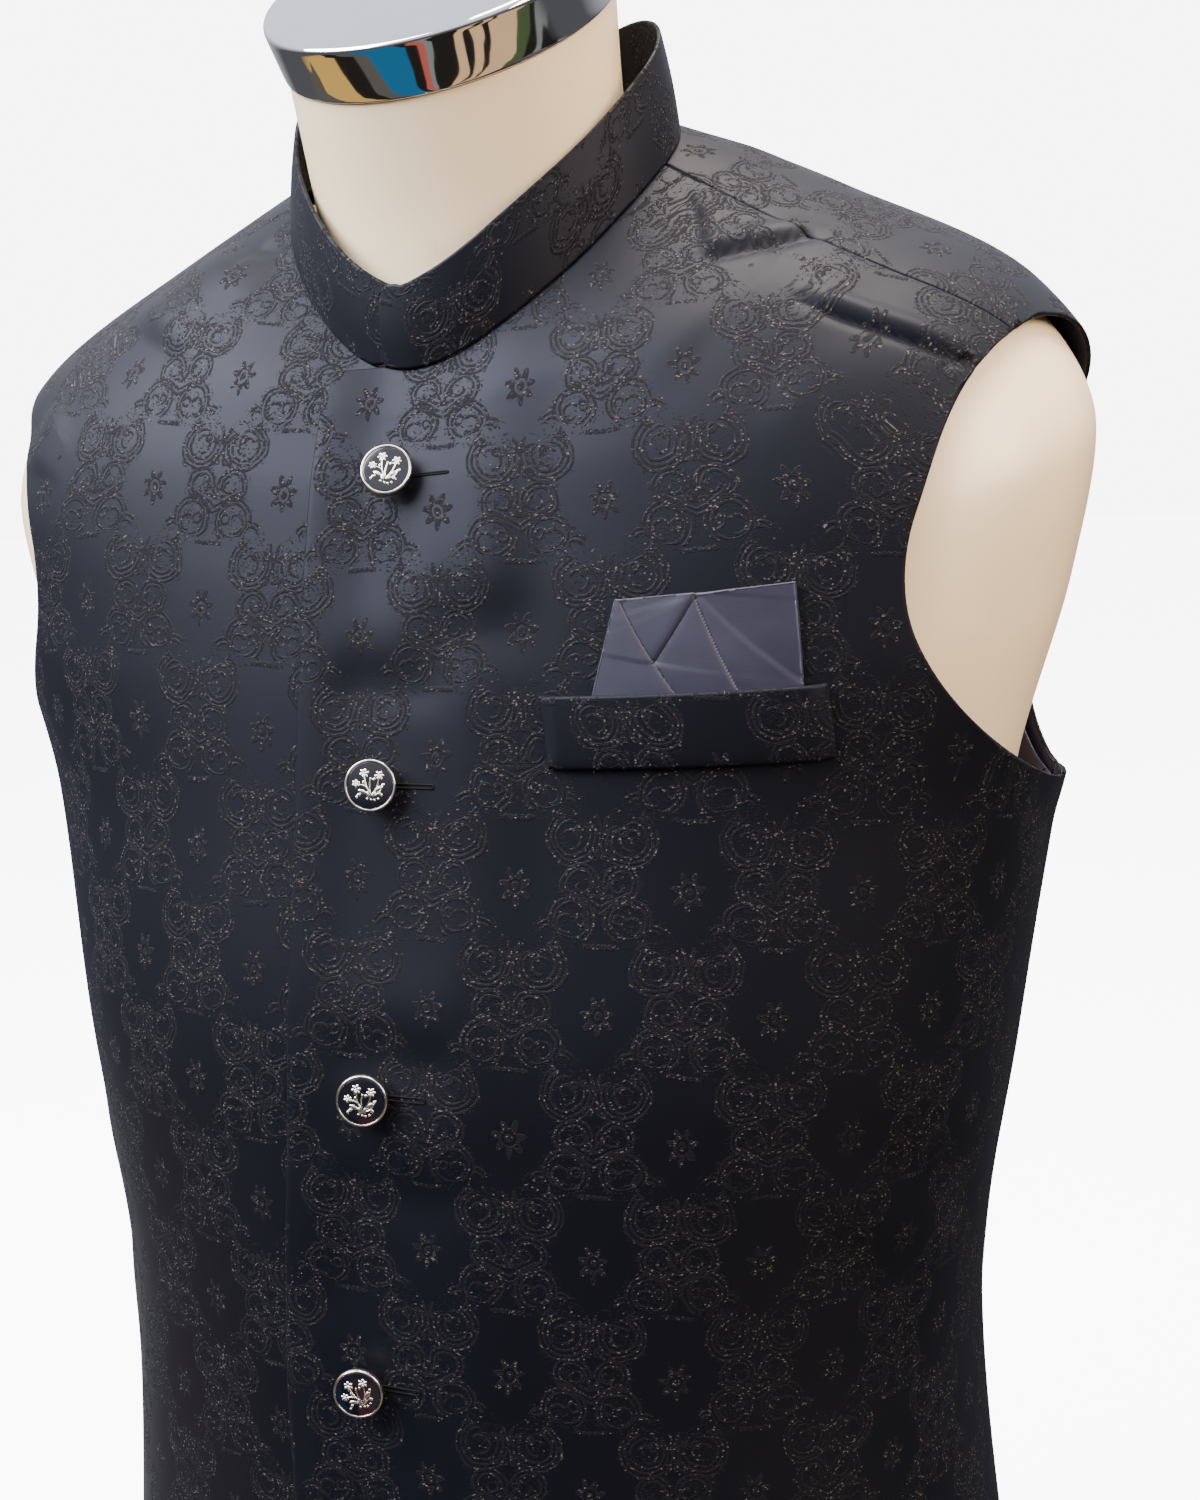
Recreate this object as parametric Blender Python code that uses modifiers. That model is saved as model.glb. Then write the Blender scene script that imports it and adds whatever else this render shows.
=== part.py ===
"""A sleeveless nehru jacket standing on a limbless torso form, as solids.

Every cloth piece is a wall on one smooth surface.  A point of that surface is named by a level
(its height up the jacket, in mm, before the shoulders slope) and an angle round the body:
-90 degrees is the centre front, 0 the wearer's left side (+X), 90 the centre back (+Y).
The jacket's front faces -Y and the form stands on z = 0.
"""

import math

import bmesh
import bpy
import numpy as np
from mathutils import Matrix, Vector

MM = 0.001

# ---------------------------------------------------------------- driving dimensions, mm
HEM = 75.0               # levels of the jacket's main lines
ARMPIT = 548.0
SHOULDER_END = 735.0
NECKLINE = 870.0
ORIGIN_Y = 23.8          # puts the origin under the middle of the bounding box

CLOTH = 1.5              # wall of a panel: jacquard, interlining and lining pressed together
COLLAR_WALL = 1.6
LINING_WALL = 1.0
WELT_WALL = 2.0          # the welt is cloth folded double
SQUARE_WALL = 1.2        # the pocket square is thin satin in four layers
SEAM_GAP = 0.4           # clear space between pieces that are sewn together
LAY_GAP = 0.4           # clear space between a panel and what lies on it

LAP = 30.0               # how far each front reaches past the centre front
LAP_LIFT = 2.4           # the left front rides this far out where it crosses the right front
LAP_FADE = 62.0          # distance from the centre front where that lift has gone
LAP_SWING = 7.0          # the left front's free edge hangs this far to the wearer's right ...
LAP_SWING_LEVELS = (470.0, 340.0)  # ... growing from nothing to all of it between these levels
LAP_CORNER_LEVEL = 837.0  # level of the left front's top corner, past the collar's end

SIDE_SEAM = 8.0          # angles of the seams
SEAM_AT_SHOULDER_END = -7.0
SEAM_AT_NECK = -5.3
ARMHOLE_BITE = {"front": (-26.0, -2.5), "back": (17.0, 2.0)}  # sin t and sin 2t terms, degrees
ARMHOLE_LINING_SCALE = 1.36   # outer edge of the lining ring over the armhole's own size
LINING_TURN = (16.0, 110.0)   # how far it runs from the bottom up the front and up the back
LINING_SETBACK = 2.0

COLLAR_HEIGHT = 36.0     # at the sides and the back
COLLAR_DIP = (8.0, 48.0)  # lower by this at the centre front, fading out this far from it
COLLAR_SEAT = 0.6        # clear space under its lower edge
COLLAR_END = 9.0         # each collar end passes the centre front by this much
COLLAR_STEP = (2.0, 26.0, 8.0)  # the right end's lower edge steps up over the left front's edge:
                         # by how much, from how far before its end, and over what length
COLLAR_CORNER = 9.0      # radius of its rounded top corners
COLLAR_LEAN = (4.6, 8.1, 4.3)  # lean towards the neck, degrees: even, sin and cos squared terms

WELT_LEVELS = (581.0, 612.0)
WELT_ANGLES = (-63.5, -33.0)
WELT_MOUTH = 2.0         # how far the welt's top edge stands open
WELT_SEWN_END = 6.0      # length at each end that is sewn flat
SQUARE_CORNERS = {       # (level, angle) of the pocket square's corners
    "foot_front": (603.0, -57.6),
    "foot_side": (603.0, -35.2),
    "top_side": (657.0, -33.9),
    "top_front": (656.0, -52.1),
}

BUTTONS = 5
FIRST_BUTTON = 39.9      # down the centre front from the neckline
BUTTON_SPACING = 104.5
BUTTON_YAW = 16.0        # the shanks let the faces turn a little to the wearer's left
BUTTON_RADIUS = 9.0
BUTTON_SHANK = 3.2
BUTTON_CLEAR = 1.2

CAP_RADIUS = 61.5             # of its lower edge; the band opens out a little towards the top
CAP_FLARE = 1.8
CAP_HEIGHT = 19.5
CAP_CENTRE = (-46.0, 822.0)   # y and z of the middle of its lower face
CAP_TILT = 34.0               # the neck leans forward, so its cap tips to the front

# Sections of the jacket's inner surface and of the form's skin, mm.  Each is a rounded ellipse:
# half width, reach to the front and to the back, power of the curve (2 is an ellipse), how much
# it climbs from front to back (tilt) and towards both sides (lift), its centre in y, and the
# power of its front half, which is lower at the neckline and so more pointed there.
COLUMNS = ("level", "z", "half", "front", "back", "power", "tilt", "lift", "centre", "front_power")
JACKET = np.array((
    (75.0, 75.0, 194.0, 148.0, 103.5, 2.25, 0.00, 0.0, 0.0, 2.25),
    (170.0, 170.0, 189.5, 147.5, 99.5, 2.25, 0.00, 0.0, 0.0, 2.25),
    (345.0, 345.0, 175.5, 147.0, 93.5, 2.25, 0.00, 0.0, 0.0, 2.25),
    (450.0, 450.0, 189.5, 144.5, 101.5, 2.25, 0.00, 0.0, 0.0, 2.25),
    (548.0, 548.0, 205.0, 132.0, 109.5, 2.25, 0.05, 0.0, 2.0, 2.25),
    (625.0, 622.0, 223.0, 116.5, 107.5, 2.30, 0.18, 0.0, -3.0, 2.30),
    (680.0, 666.0, 225.0, 104.5, 97.5, 2.35, 0.30, 6.0, -7.5, 2.35),
    (735.0, 699.5, 200.0, 86.5, 85.5, 2.40, 0.42, 14.5, -17.5, 2.40),
    (800.0, 717.5, 140.5, 66.0, 78.0, 2.45, 0.53, 24.5, -30.0, 2.35),
    (870.0, 744.5, 74.5, 62.5, 52.0, 1.90, 0.72, 29.5, -25.0, 1.80),
))
FORM = np.array((
    (0.0, 0.0, 182.0, 138.0, 94.0, 2.25, 0.00, 0.0, 0.0, 2.25),
    (5.0, 5.0, 185.0, 141.0, 97.0, 2.25, 0.00, 0.0, 0.0, 2.25),
    (75.0, 75.0, 185.0, 142.0, 96.0, 2.25, 0.00, 0.0, 0.0, 2.25),
    (170.0, 170.0, 180.0, 142.0, 92.0, 2.25, 0.00, 0.0, 0.0, 2.25),
    (345.0, 345.0, 166.0, 139.0, 86.0, 2.25, 0.00, 0.0, 0.0, 2.25),
    (450.0, 450.0, 177.0, 137.0, 94.0, 2.25, 0.00, 0.0, 0.0, 2.25),
    (548.0, 548.0, 189.0, 126.0, 103.0, 2.25, 0.05, 0.0, 2.0, 2.25),
    (625.0, 621.0, 210.0, 111.5, 102.5, 2.30, 0.18, 0.0, -3.0, 2.30),
    (680.0, 664.0, 218.5, 100.5, 93.5, 2.35, 0.30, 6.0, -7.5, 2.35),
    (735.0, 696.0, 196.5, 82.5, 81.5, 2.40, 0.42, 14.5, -17.5, 2.40),
    (800.0, 714.0, 137.0, 62.0, 74.0, 2.45, 0.53, 24.5, -30.0, 2.35),
    (870.0, 741.0, 71.0, 58.5, 48.5, 1.90, 0.72, 29.5, -25.0, 1.80),
    (895.0, 755.0, 62.5, 48.0, 48.0, 2.00, 0.70, 17.0, -30.5, 1.90),
    (925.0, 779.0, 59.5, 44.5, 50.0, 2.00, 0.67, 6.0, -39.0, 2.00),
    (960.0, 821.6, 60.5, 50.2, 50.2, 2.00, 0.6745, 0.0, -46.0, 2.00),
))

# ---------------------------------------------------------------- how finely the walls are faceted
LAP_COLUMNS = 4
FRONT_COLUMNS = 15
BACK_COLUMNS = 22
SIDE_CROWDING = 0.085    # draws the columns of the back together where it turns round the sides
ROWS = (11, 9, 7)        # hem to armpit, along the armhole, shoulder to neckline
FORM_AROUND = 44
COLLAR_ROWS = 3


# ---------------------------------------------------------------- the shared surface
def read_sections(table, level):
    """Each column of a table at the given levels, on a smooth curve that never overshoots."""
    x = table[:, 0]
    y = table[:, 1:]
    step = np.diff(x)[:, None]
    slope = np.diff(y, axis=0) / step
    before = step[:-1] + 2.0 * step[1:]
    after = 2.0 * step[:-1] + step[1:]
    same_way = slope[:-1] * slope[1:] > 0.0
    low = np.where(same_way, slope[:-1], 1.0)
    high = np.where(same_way, slope[1:], 1.0)
    tangent = np.zeros_like(y)
    tangent[1:-1] = np.where(same_way, (before + after) / (before / low + after / high), 0.0)
    tangent[0] = slope[0]
    tangent[-1] = slope[-1]
    i = np.clip(np.searchsorted(x, level, side="right") - 1, 0, len(x) - 2)
    t = ((level - x[i]) / (x[i + 1] - x[i]))[:, None]
    h = step[i]
    return (
        (2 * t**3 - 3 * t**2 + 1) * y[i]
        + (t**3 - 2 * t**2 + t) * h * tangent[i]
        + (3 * t**2 - 2 * t**3) * y[i + 1]
        + (t**3 - t**2) * h * tangent[i + 1]
    )


def surface(table, level, angle, out=0.0):
    """Points (mm) at these levels and angles (degrees), moved out from the section by out."""
    level, angle, out = np.broadcast_arrays(*np.atleast_1d(level, angle, out))
    columns = read_sections(table, level.ravel()).T.reshape((-1,) + level.shape)
    z, half, front, back, power, tilt, lift, centre, front_power = columns
    turn = np.radians(angle)
    side = np.cos(turn)
    ahead = np.sin(turn)
    depth = np.where(ahead < 0.0, front, back) + out
    power = np.where(ahead < 0.0, front_power, power)
    reach = (np.abs(side / (half + out)) ** power + np.abs(ahead / depth) ** power) ** (-1 / power)
    x = reach * side
    y = reach * ahead
    return np.stack([x, centre + y + ORIGIN_Y, z + tilt * y + lift * side**2], axis=-1)


def normals(table, level, angle):
    """Unit normals, pointing out, from two short steps along the surface."""
    up = surface(table, level + 0.5, angle) - surface(table, level - 0.5, angle)
    along = surface(table, level, angle + 0.2) - surface(table, level, angle - 0.2)
    cross = np.cross(along, up)
    return cross / np.linalg.norm(cross, axis=-1, keepdims=True)


def angle_at(table, level, x):
    """Angle on the front half at which the section of this level has this x."""
    columns = read_sections(table, np.ravel(level)).T.reshape((-1,) + np.shape(level))
    half, front, power = columns[1], columns[2], columns[8]
    y = -front * (1.0 - np.abs(x / half) ** power) ** (1.0 / power)
    return np.degrees(np.arctan2(y, x))


def steps(first, last, count):
    return np.linspace(first, last, count + 1)


def smooth(t):
    t = np.clip(t, 0.0, 1.0)
    return t * t * (3.0 - 2.0 * t)


# ---------------------------------------------------------------- the cut of the panels
def armhole_turn(level):
    """0 at the bottom of the armhole, pi at its top, for a level beside it."""
    middle = 0.5 * (ARMPIT + SHOULDER_END)
    half = 0.5 * (SHOULDER_END - ARMPIT)
    return np.arccos(np.clip((middle - level) / half, -1.0, 1.0))


def side_edge(level, panel):
    """Angle of a panel's edge: side seam, then armhole, then shoulder seam."""
    turn = armhole_turn(level)
    first, second = ARMHOLE_BITE[panel]
    seam = SIDE_SEAM + (SEAM_AT_SHOULDER_END - SIDE_SEAM) * turn / math.pi
    armhole = seam + first * np.sin(turn) + second * np.sin(2.0 * turn)
    climb = np.clip((level - SHOULDER_END) / (NECKLINE - SHOULDER_END), 0.0, 1.0)
    shoulder = SEAM_AT_SHOULDER_END + (SEAM_AT_NECK - SEAM_AT_SHOULDER_END) * climb
    edge = np.where(level < SHOULDER_END, armhole, shoulder)
    radius = np.hypot(*np.moveaxis(surface(JACKET, level, edge), -1, 0)[:2])
    clear = np.degrees(0.5 * SEAM_GAP / radius)
    return edge - clear if panel == "front" else edge + clear


def row_levels():
    middle = 0.5 * (ARMPIT + SHOULDER_END)
    half = 0.5 * (SHOULDER_END - ARMPIT)
    beside = middle - half * np.cos(steps(0.0, math.pi, ROWS[1]))
    return np.concatenate((steps(HEM, ARMPIT, ROWS[0])[:-1], beside, steps(SHOULDER_END, NECKLINE, ROWS[2])[1:]))


def lap_lift(x):
    """How far out the left front rides: all of LAP_LIFT over the lap, none past LAP_FADE."""
    return LAP_LIFT * smooth((LAP_FADE - x) / (LAP_FADE - LAP))


def swing(level):
    """How far the left front's free edge and its buttons hang towards the wearer's right."""
    high, low = LAP_SWING_LEVELS
    return -LAP_SWING * smooth((high - level) / (high - low))


def front_grid(rows, across, hang=1.0):
    """Levels and angles over a front, from its free edge (across 0) to its side (across 1).

    The lap is cut to even widths on both sides of the centre front; the rest is shared out
    evenly in angle.  Past the collar's end the top edge slopes down to the corner.
    """
    lap_share = LAP_COLUMNS / FRONT_COLUMNS
    level, across = np.meshgrid(rows, across, indexing="ij")
    x = -LAP + 2.0 * LAP * np.clip(across / lap_share, 0.0, 1.0)
    past = np.clip((-COLLAR_END - x) / (LAP - COLLAR_END), 0.0, 1.0)
    top = NECKLINE + (LAP_CORNER_LEVEL - NECKLINE) * past
    squeeze = (top - SHOULDER_END) / (NECKLINE - SHOULDER_END)
    level = np.where(level > SHOULDER_END, SHOULDER_END + (level - SHOULDER_END) * squeeze, level)
    lap_angle = angle_at(JACKET, level, x + hang * swing(level))
    share = np.clip((across - lap_share) / (1.0 - lap_share), 0.0, 1.0)
    return level, lap_angle + (side_edge(level, "front") - lap_angle) * share


def left_front_points(level, angle, out=0.0):
    base = surface(JACKET, level, angle)
    return base + normals(JACKET, level, angle) * (lap_lift(base[..., 0]) + out)[..., None]


def flipped(points):
    """The same points on the wearer's other side, in an order that keeps the outside outside."""
    return (points * np.array((-1.0, 1.0, 1.0)))[:, ::-1]


# ---------------------------------------------------------------- making objects
def clear_scene():
    for old in list(bpy.data.objects):
        bpy.data.objects.remove(old, do_unlink=True)


def finish(name, colour, roughness, metallic=0.0, sheen=0.0):
    material = bpy.data.materials.new(name)
    material.use_nodes = True
    shader = material.node_tree.nodes["Principled BSDF"]
    shader.inputs["Base Color"].default_value = (*colour, 1.0)
    shader.inputs["Roughness"].default_value = roughness
    shader.inputs["Metallic"].default_value = metallic
    shader.inputs["Sheen Weight"].default_value = sheen
    return material


def add_object(name, mesh, material, collection):
    mesh.materials.append(material)
    piece = bpy.data.objects.new(name, mesh)
    collection.objects.link(piece)
    return piece


def laid_grid(name, points):
    """A mesh grid, one vertex for each point of a (rows, columns, 3) array, given in mm."""
    rows, columns = points.shape[:2]
    work = bmesh.new()
    bmesh.ops.create_grid(work, x_segments=columns - 1, y_segments=rows - 1, size=1.0)
    mesh = bpy.data.meshes.new(name)
    work.to_mesh(mesh)
    work.free()
    flat = np.empty(len(mesh.vertices) * 3)
    mesh.vertices.foreach_get("co", flat)
    place = flat.reshape(-1, 3)
    column = np.rint((place[:, 0] + 1.0) * 0.5 * (columns - 1)).astype(int)
    row = np.rint((place[:, 1] + 1.0) * 0.5 * (rows - 1)).astype(int)
    mesh.vertices.foreach_set("co", (points[row, column] * MM).ravel())
    mesh.shade_smooth()
    mesh.update()
    return mesh


def wall(name, points, thickness, material, collection):
    """A closed wall: the grid is its inner face and Solidify grows it outwards."""
    piece = add_object(name, laid_grid(name, points), material, collection)
    shell = piece.modifiers.new("wall", "SOLIDIFY")
    shell.thickness = thickness * MM
    shell.offset = 1.0
    return piece


def turned(name, profile, segments, material, collection):
    """A profile of (radius, height) points in mm, turned round its own Z axis."""
    mesh = bpy.data.meshes.new(name)
    points = [(radius * MM, 0.0, height * MM) for radius, height in profile]
    mesh.from_pydata(points, [(i, i + 1) for i in range(len(points) - 1)], [])
    piece = add_object(name, mesh, material, collection)
    screw = piece.modifiers.new("turn", "SCREW")
    screw.steps = segments
    screw.render_steps = segments
    screw.use_merge_vertices = True
    screw.merge_threshold = 0.00001
    screw.use_smooth_shade = True
    return piece


# ---------------------------------------------------------------- the form
def build_form(collection):
    """The torso: rings round the body, closed round the back and capped top and bottom."""
    fibreglass = finish("form_gelcoat", (0.86, 0.77, 0.66), 0.35)
    lower = steps(75.0, ARMPIT, 6)
    upper = steps(ARMPIT, NECKLINE, 12)[1:]
    levels = np.concatenate(((0.0, 5.0), lower, upper, (882.0, 895.0, 910.0, 925.0, 943.0, 960.0)))
    angle = steps(-180.0, 180.0, FORM_AROUND)
    points = surface(FORM, levels[:, None], angle[None, :])
    points[:, -1] = points[:, 0]
    mesh = laid_grid("form_torso", points)
    work = bmesh.new()
    work.from_mesh(mesh)
    bmesh.ops.remove_doubles(work, verts=work.verts, dist=0.00001)
    open_edges = [edge for edge in work.edges if edge.is_boundary]
    bmesh.ops.holes_fill(work, edges=open_edges, sides=0)
    bmesh.ops.recalc_face_normals(work, faces=work.faces)
    work.to_mesh(mesh)
    work.free()
    mesh.set_sharp_from_angle(angle=math.radians(50.0))
    return add_object("form_torso", mesh, fibreglass, collection)


def build_neck_cap(collection):
    """A chromed disc with a rolled edge, wider than the neck that it closes."""
    chrome = finish("neck_cap_chrome", (0.75, 0.75, 0.76), 0.08, metallic=1.0)
    roll = 3.0
    arc = np.radians(steps(90.0, 0.0, 3))
    rim = CAP_RADIUS + CAP_FLARE - roll
    top_edge = [(rim + roll * math.cos(turn), CAP_HEIGHT - roll + roll * math.sin(turn)) for turn in arc]
    profile = [(0.0, CAP_HEIGHT + 1.5), (CAP_RADIUS * 0.5, CAP_HEIGHT + 1.1)] + top_edge
    profile += [(CAP_RADIUS, 0.8), (CAP_RADIUS - 0.8, 0.0), (0.0, 0.0)]
    cap = turned("form_neck_cap", profile, 40, chrome, collection)
    tilt = math.radians(CAP_TILT)
    y, z = CAP_CENTRE
    cap.location = Vector((0.0, (y + ORIGIN_Y) * MM, z * MM))
    cap.rotation_euler = (tilt, 0.0, 0.0)
    return cap


# ---------------------------------------------------------------- the jacket
def build_panels(jacquard, collection):
    rows = row_levels()
    level, angle = front_grid(rows, steps(0.0, 1.0, FRONT_COLUMNS))
    wall("front_left", left_front_points(level, angle), CLOTH, jacquard, collection)
    level, angle = front_grid(rows, steps(0.0, 1.0, FRONT_COLUMNS), hang=0.0)
    wall("front_right", flipped(surface(JACKET, level, angle)), CLOTH, jacquard, collection)

    across = steps(0.0, 1.0, BACK_COLUMNS)[None, :]
    across = across - SIDE_CROWDING * np.sin(2.0 * math.pi * across)
    level = np.broadcast_to(rows[:, None], (len(rows), BACK_COLUMNS + 1))
    edge = side_edge(level, "back")
    wall("back", surface(JACKET, level, edge + (180.0 - 2.0 * edge) * across), CLOTH, jacquard, collection)


def build_collar(jacquard, collection):
    """One band: its left end lies over its right end at the centre front.

    It stands on the panels' outer face, leans towards the neck at the sides and the back, and
    is upright and a little lower at the front.
    """
    end = float(angle_at(JACKET, np.array(NECKLINE), -COLLAR_END))
    corner = np.array((0.0, 2.0, 5.5, 10.0, 15.0))
    angle = np.concatenate((end + corner, steps(end + 20.0, 160.0 - end, 60), (180.0 - end - corner)[::-1]))
    base = surface(JACKET, NECKLINE, angle)
    on_left = np.where(angle < 0.0, lap_lift(base[:, 0]), 0.0)
    base = base + normals(JACKET, NECKLINE, angle) * (CLOTH + COLLAR_SEAT + on_left)[:, None]
    along = np.concatenate(((0.0,), np.cumsum(np.linalg.norm(np.diff(base, axis=0), axis=1))))
    from_end = np.minimum(np.minimum(along, along[-1] - along), COLLAR_CORNER)
    fall = COLLAR_CORNER - np.sqrt(COLLAR_CORNER**2 - (COLLAR_CORNER - from_end) ** 2)
    turn = np.radians(angle)
    near_front = np.clip(1.0 - np.abs(base[:, 0]) / COLLAR_DIP[1], 0.0, 1.0) * (np.sin(turn) < 0.0)
    dip = COLLAR_DIP[0] * near_front**1.7
    amount, start, run = COLLAR_STEP
    step_up = amount * smooth((start - along[-1] + along) / run)
    base[:, 2] += step_up
    height = (COLLAR_HEIGHT - dip - fall - step_up)[None, :] * steps(0.0, 1.0, COLLAR_ROWS)[:, None]
    even, first, second = COLLAR_LEAN
    lean = np.radians(even + first * np.sin(turn) + second * np.cos(turn) ** 2)
    tangent = np.gradient(base, axis=0)
    outward = np.stack((tangent[:, 1], -tangent[:, 0], np.zeros(len(base))), axis=-1)
    outward /= np.linalg.norm(outward, axis=-1, keepdims=True)
    rise = np.cos(lean)[:, None] * np.array((0.0, 0.0, 1.0)) - np.sin(lean)[:, None] * outward
    points = base[None] + height[..., None] * rise[None]
    wall("collar", points, COLLAR_WALL, jacquard, collection)


def build_armhole_linings(satin, collection):
    """The strip of lining seen inside each armhole: the armhole's lower part, scaled up about
    its middle, just inside the panels."""
    turn = np.radians(np.concatenate((steps(-LINING_TURN[0], 0.0, 2)[:-1], steps(0.0, LINING_TURN[1], 11))))
    middle = 0.5 * (ARMPIT + SHOULDER_END)
    level = middle - 0.5 * (SHOULDER_END - ARMPIT) * np.cos(turn)
    edge = np.where(turn < 0.0, side_edge(level, "front"), side_edge(level, "back"))
    scale = steps(1.03, ARMHOLE_LINING_SCALE, 3)[:, None]
    inset = -LINING_SETBACK - LINING_WALL
    levels = middle + (level - middle)[None, :] * scale
    strip = surface(JACKET, levels, edge[None, :] * scale, inset)[::-1]
    wall("armhole_lining_left", strip, LINING_WALL, satin, collection)
    wall("armhole_lining_right", flipped(strip), LINING_WALL, satin, collection)


def build_breast_pocket(jacquard, satin, collection):
    """The welt lies on the left front, and the pocket square stands between the two."""
    level = steps(*WELT_LEVELS, 3)[:, None]
    angle = steps(*WELT_ANGLES, 14)[None, :]
    flat = left_front_points(level, angle)
    length = np.cumsum(np.linalg.norm(np.diff(flat[0], axis=0), axis=1))
    along = np.concatenate(((0.0,), length))
    sewn = np.clip(np.minimum(along, along[-1] - along) / WELT_SEWN_END, 0.0, 1.0)
    mouth = WELT_MOUTH * sewn[None, :] * steps(0.0, 1.0, 3)[:, None] ** 0.5
    points = flat + normals(JACKET, level, angle) * (CLOTH + LAY_GAP + mouth)[..., None]
    wall("pocket_welt", points, WELT_WALL, jacquard, collection)

    across = steps(0.0, 1.0, 8)[None, :, None]
    up = steps(0.0, 1.0, 4)[:, None, None]
    foot = np.array(SQUARE_CORNERS["foot_front"]) * (1 - across) + np.array(SQUARE_CORNERS["foot_side"]) * across
    top = np.array(SQUARE_CORNERS["top_front"]) * (1 - across) + np.array(SQUARE_CORNERS["top_side"]) * across
    level, angle = np.moveaxis(foot * (1 - up) + top * up, -1, 0)
    points = left_front_points(level, angle) + normals(JACKET, level, angle) * (CLOTH + LAY_GAP)
    wall("pocket_square", points, SQUARE_WALL, satin, collection)


def build_buttons(collection):
    """Shank buttons down the centre front: a cast metal body, and an enamelled face set in its rim."""
    plated = finish("button_metal", (0.72, 0.69, 0.63), 0.22, metallic=1.0)
    enamel = finish("button_enamel", (0.012, 0.013, 0.022), 0.12)
    r = BUTTON_RADIUS
    foot = -BUTTON_SHANK
    body = ((0.0, 2.6), (r - 1.2, 2.6), (r - 0.9, 3.1), (r - 0.35, 2.9), (r, 2.0), (r - 0.3, 0.9),
            (r - 2.0, 0.1), (1.9, 0.0), (1.9, foot), (0.0, foot))
    face = ((0.0, 3.5), (0.5 * r, 3.4), (r - 1.6, 3.15), (r - 1.6, 2.9), (0.0, 2.9))

    level = steps(NECKLINE, HEM, 400)
    angle = angle_at(JACKET, level, swing(level))
    line = left_front_points(level, angle, CLOTH)
    down = np.concatenate(((0.0,), np.cumsum(np.linalg.norm(np.diff(line, axis=0), axis=1))))
    for k in range(BUTTONS):
        here = np.interp(FIRST_BUTTON + k * BUTTON_SPACING, down, level)
        turn = np.interp(-here, -level, angle)
        point = left_front_points(here, turn, CLOTH)[0]
        out = Vector(normals(JACKET, here, turn)[0])
        axis = Matrix.Rotation(math.radians(BUTTON_YAW), 3, "Z") @ out
        side = Vector((0.0, 0.0, 1.0)).cross(axis).normalized()
        frame = Matrix((side, axis.cross(side), axis)).transposed().to_4x4()
        seat = Vector(point) + axis * (BUTTON_SHANK + BUTTON_CLEAR)
        frame.translation = seat * MM
        turned(f"button_{k + 1}", body, 18, plated, collection).matrix_world = frame
        turned(f"button_face_{k + 1}", face, 18, enamel, collection).matrix_world = frame


def build():
    clear_scene()
    collection = bpy.data.collections.new("nehru_jacket_on_form")
    bpy.context.scene.collection.children.link(collection)
    jacquard = finish("jacquard_navy", (0.030, 0.032, 0.048), 0.55, sheen=0.3)
    satin = finish("satin_navy", (0.050, 0.046, 0.085), 0.35)
    build_form(collection)
    build_neck_cap(collection)
    build_panels(jacquard, collection)
    build_collar(jacquard, collection)
    build_armhole_linings(satin, collection)
    build_breast_pocket(jacquard, satin, collection)
    build_buttons(collection)


build()
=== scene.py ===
# %% [markdown]
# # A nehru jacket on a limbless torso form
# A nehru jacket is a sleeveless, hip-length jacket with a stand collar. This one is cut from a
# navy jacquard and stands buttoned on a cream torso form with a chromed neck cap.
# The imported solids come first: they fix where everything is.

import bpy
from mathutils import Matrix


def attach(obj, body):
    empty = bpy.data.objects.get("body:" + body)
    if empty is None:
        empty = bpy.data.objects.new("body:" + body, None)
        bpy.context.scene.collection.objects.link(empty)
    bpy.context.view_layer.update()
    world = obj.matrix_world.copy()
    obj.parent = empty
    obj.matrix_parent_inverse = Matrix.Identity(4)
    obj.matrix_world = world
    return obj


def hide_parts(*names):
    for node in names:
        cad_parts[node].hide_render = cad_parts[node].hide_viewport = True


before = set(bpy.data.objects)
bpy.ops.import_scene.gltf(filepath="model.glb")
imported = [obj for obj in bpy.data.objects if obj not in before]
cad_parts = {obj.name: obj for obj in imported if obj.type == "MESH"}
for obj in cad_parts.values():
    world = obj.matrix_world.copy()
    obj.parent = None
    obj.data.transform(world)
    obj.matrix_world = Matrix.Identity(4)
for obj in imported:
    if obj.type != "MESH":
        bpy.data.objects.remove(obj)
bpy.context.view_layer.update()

# %% [markdown]
# The shapes are worked out in millimetres, as a tailor measures, and turned to metres only when
# they become a mesh.

# %% Blender, numpy and the units
import math

import bpy
import numpy as np
from mathutils import Matrix, Vector

MM = 0.001
print("one mesh unit is a metre, and a millimetre is", MM)

# %% [markdown]
# The camera stands a little over half a metre from the chest, ahead and to the wearer's left, and
# looks slightly down. It is made from its place, the direction it looks in and a small roll, so
# its matrix is three unit vectors side by side.

# %% Camera
CAMERA_PLACE = (0.2961, -0.6170, 0.6692)
CAMERA_AZIMUTH = math.radians(22.72)
CAMERA_DIP = math.radians(9.43)
CAMERA_ROLL = math.radians(-2.18)
CAMERA_LENS = 42.5

forward = Vector((
    -math.sin(CAMERA_AZIMUTH) * math.cos(CAMERA_DIP),
    math.cos(CAMERA_AZIMUTH) * math.cos(CAMERA_DIP),
    -math.sin(CAMERA_DIP),
))
level_right = forward.cross(Vector((0.0, 0.0, 1.0))).normalized()
level_up = level_right.cross(forward)
right = level_right * math.cos(CAMERA_ROLL) + level_up * math.sin(CAMERA_ROLL)
up = level_up * math.cos(CAMERA_ROLL) - level_right * math.sin(CAMERA_ROLL)
camera = bpy.data.objects.new("camera", bpy.data.cameras.new("camera"))
camera.data.lens = CAMERA_LENS
axes = Matrix((right, up, -forward)).transposed()
camera.matrix_world = Matrix.Translation(CAMERA_PLACE) @ axes.to_4x4()
bpy.context.scene.collection.objects.link(camera)
bpy.context.scene.camera = camera
print("camera looks along", [round(v, 3) for v in forward])

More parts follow.
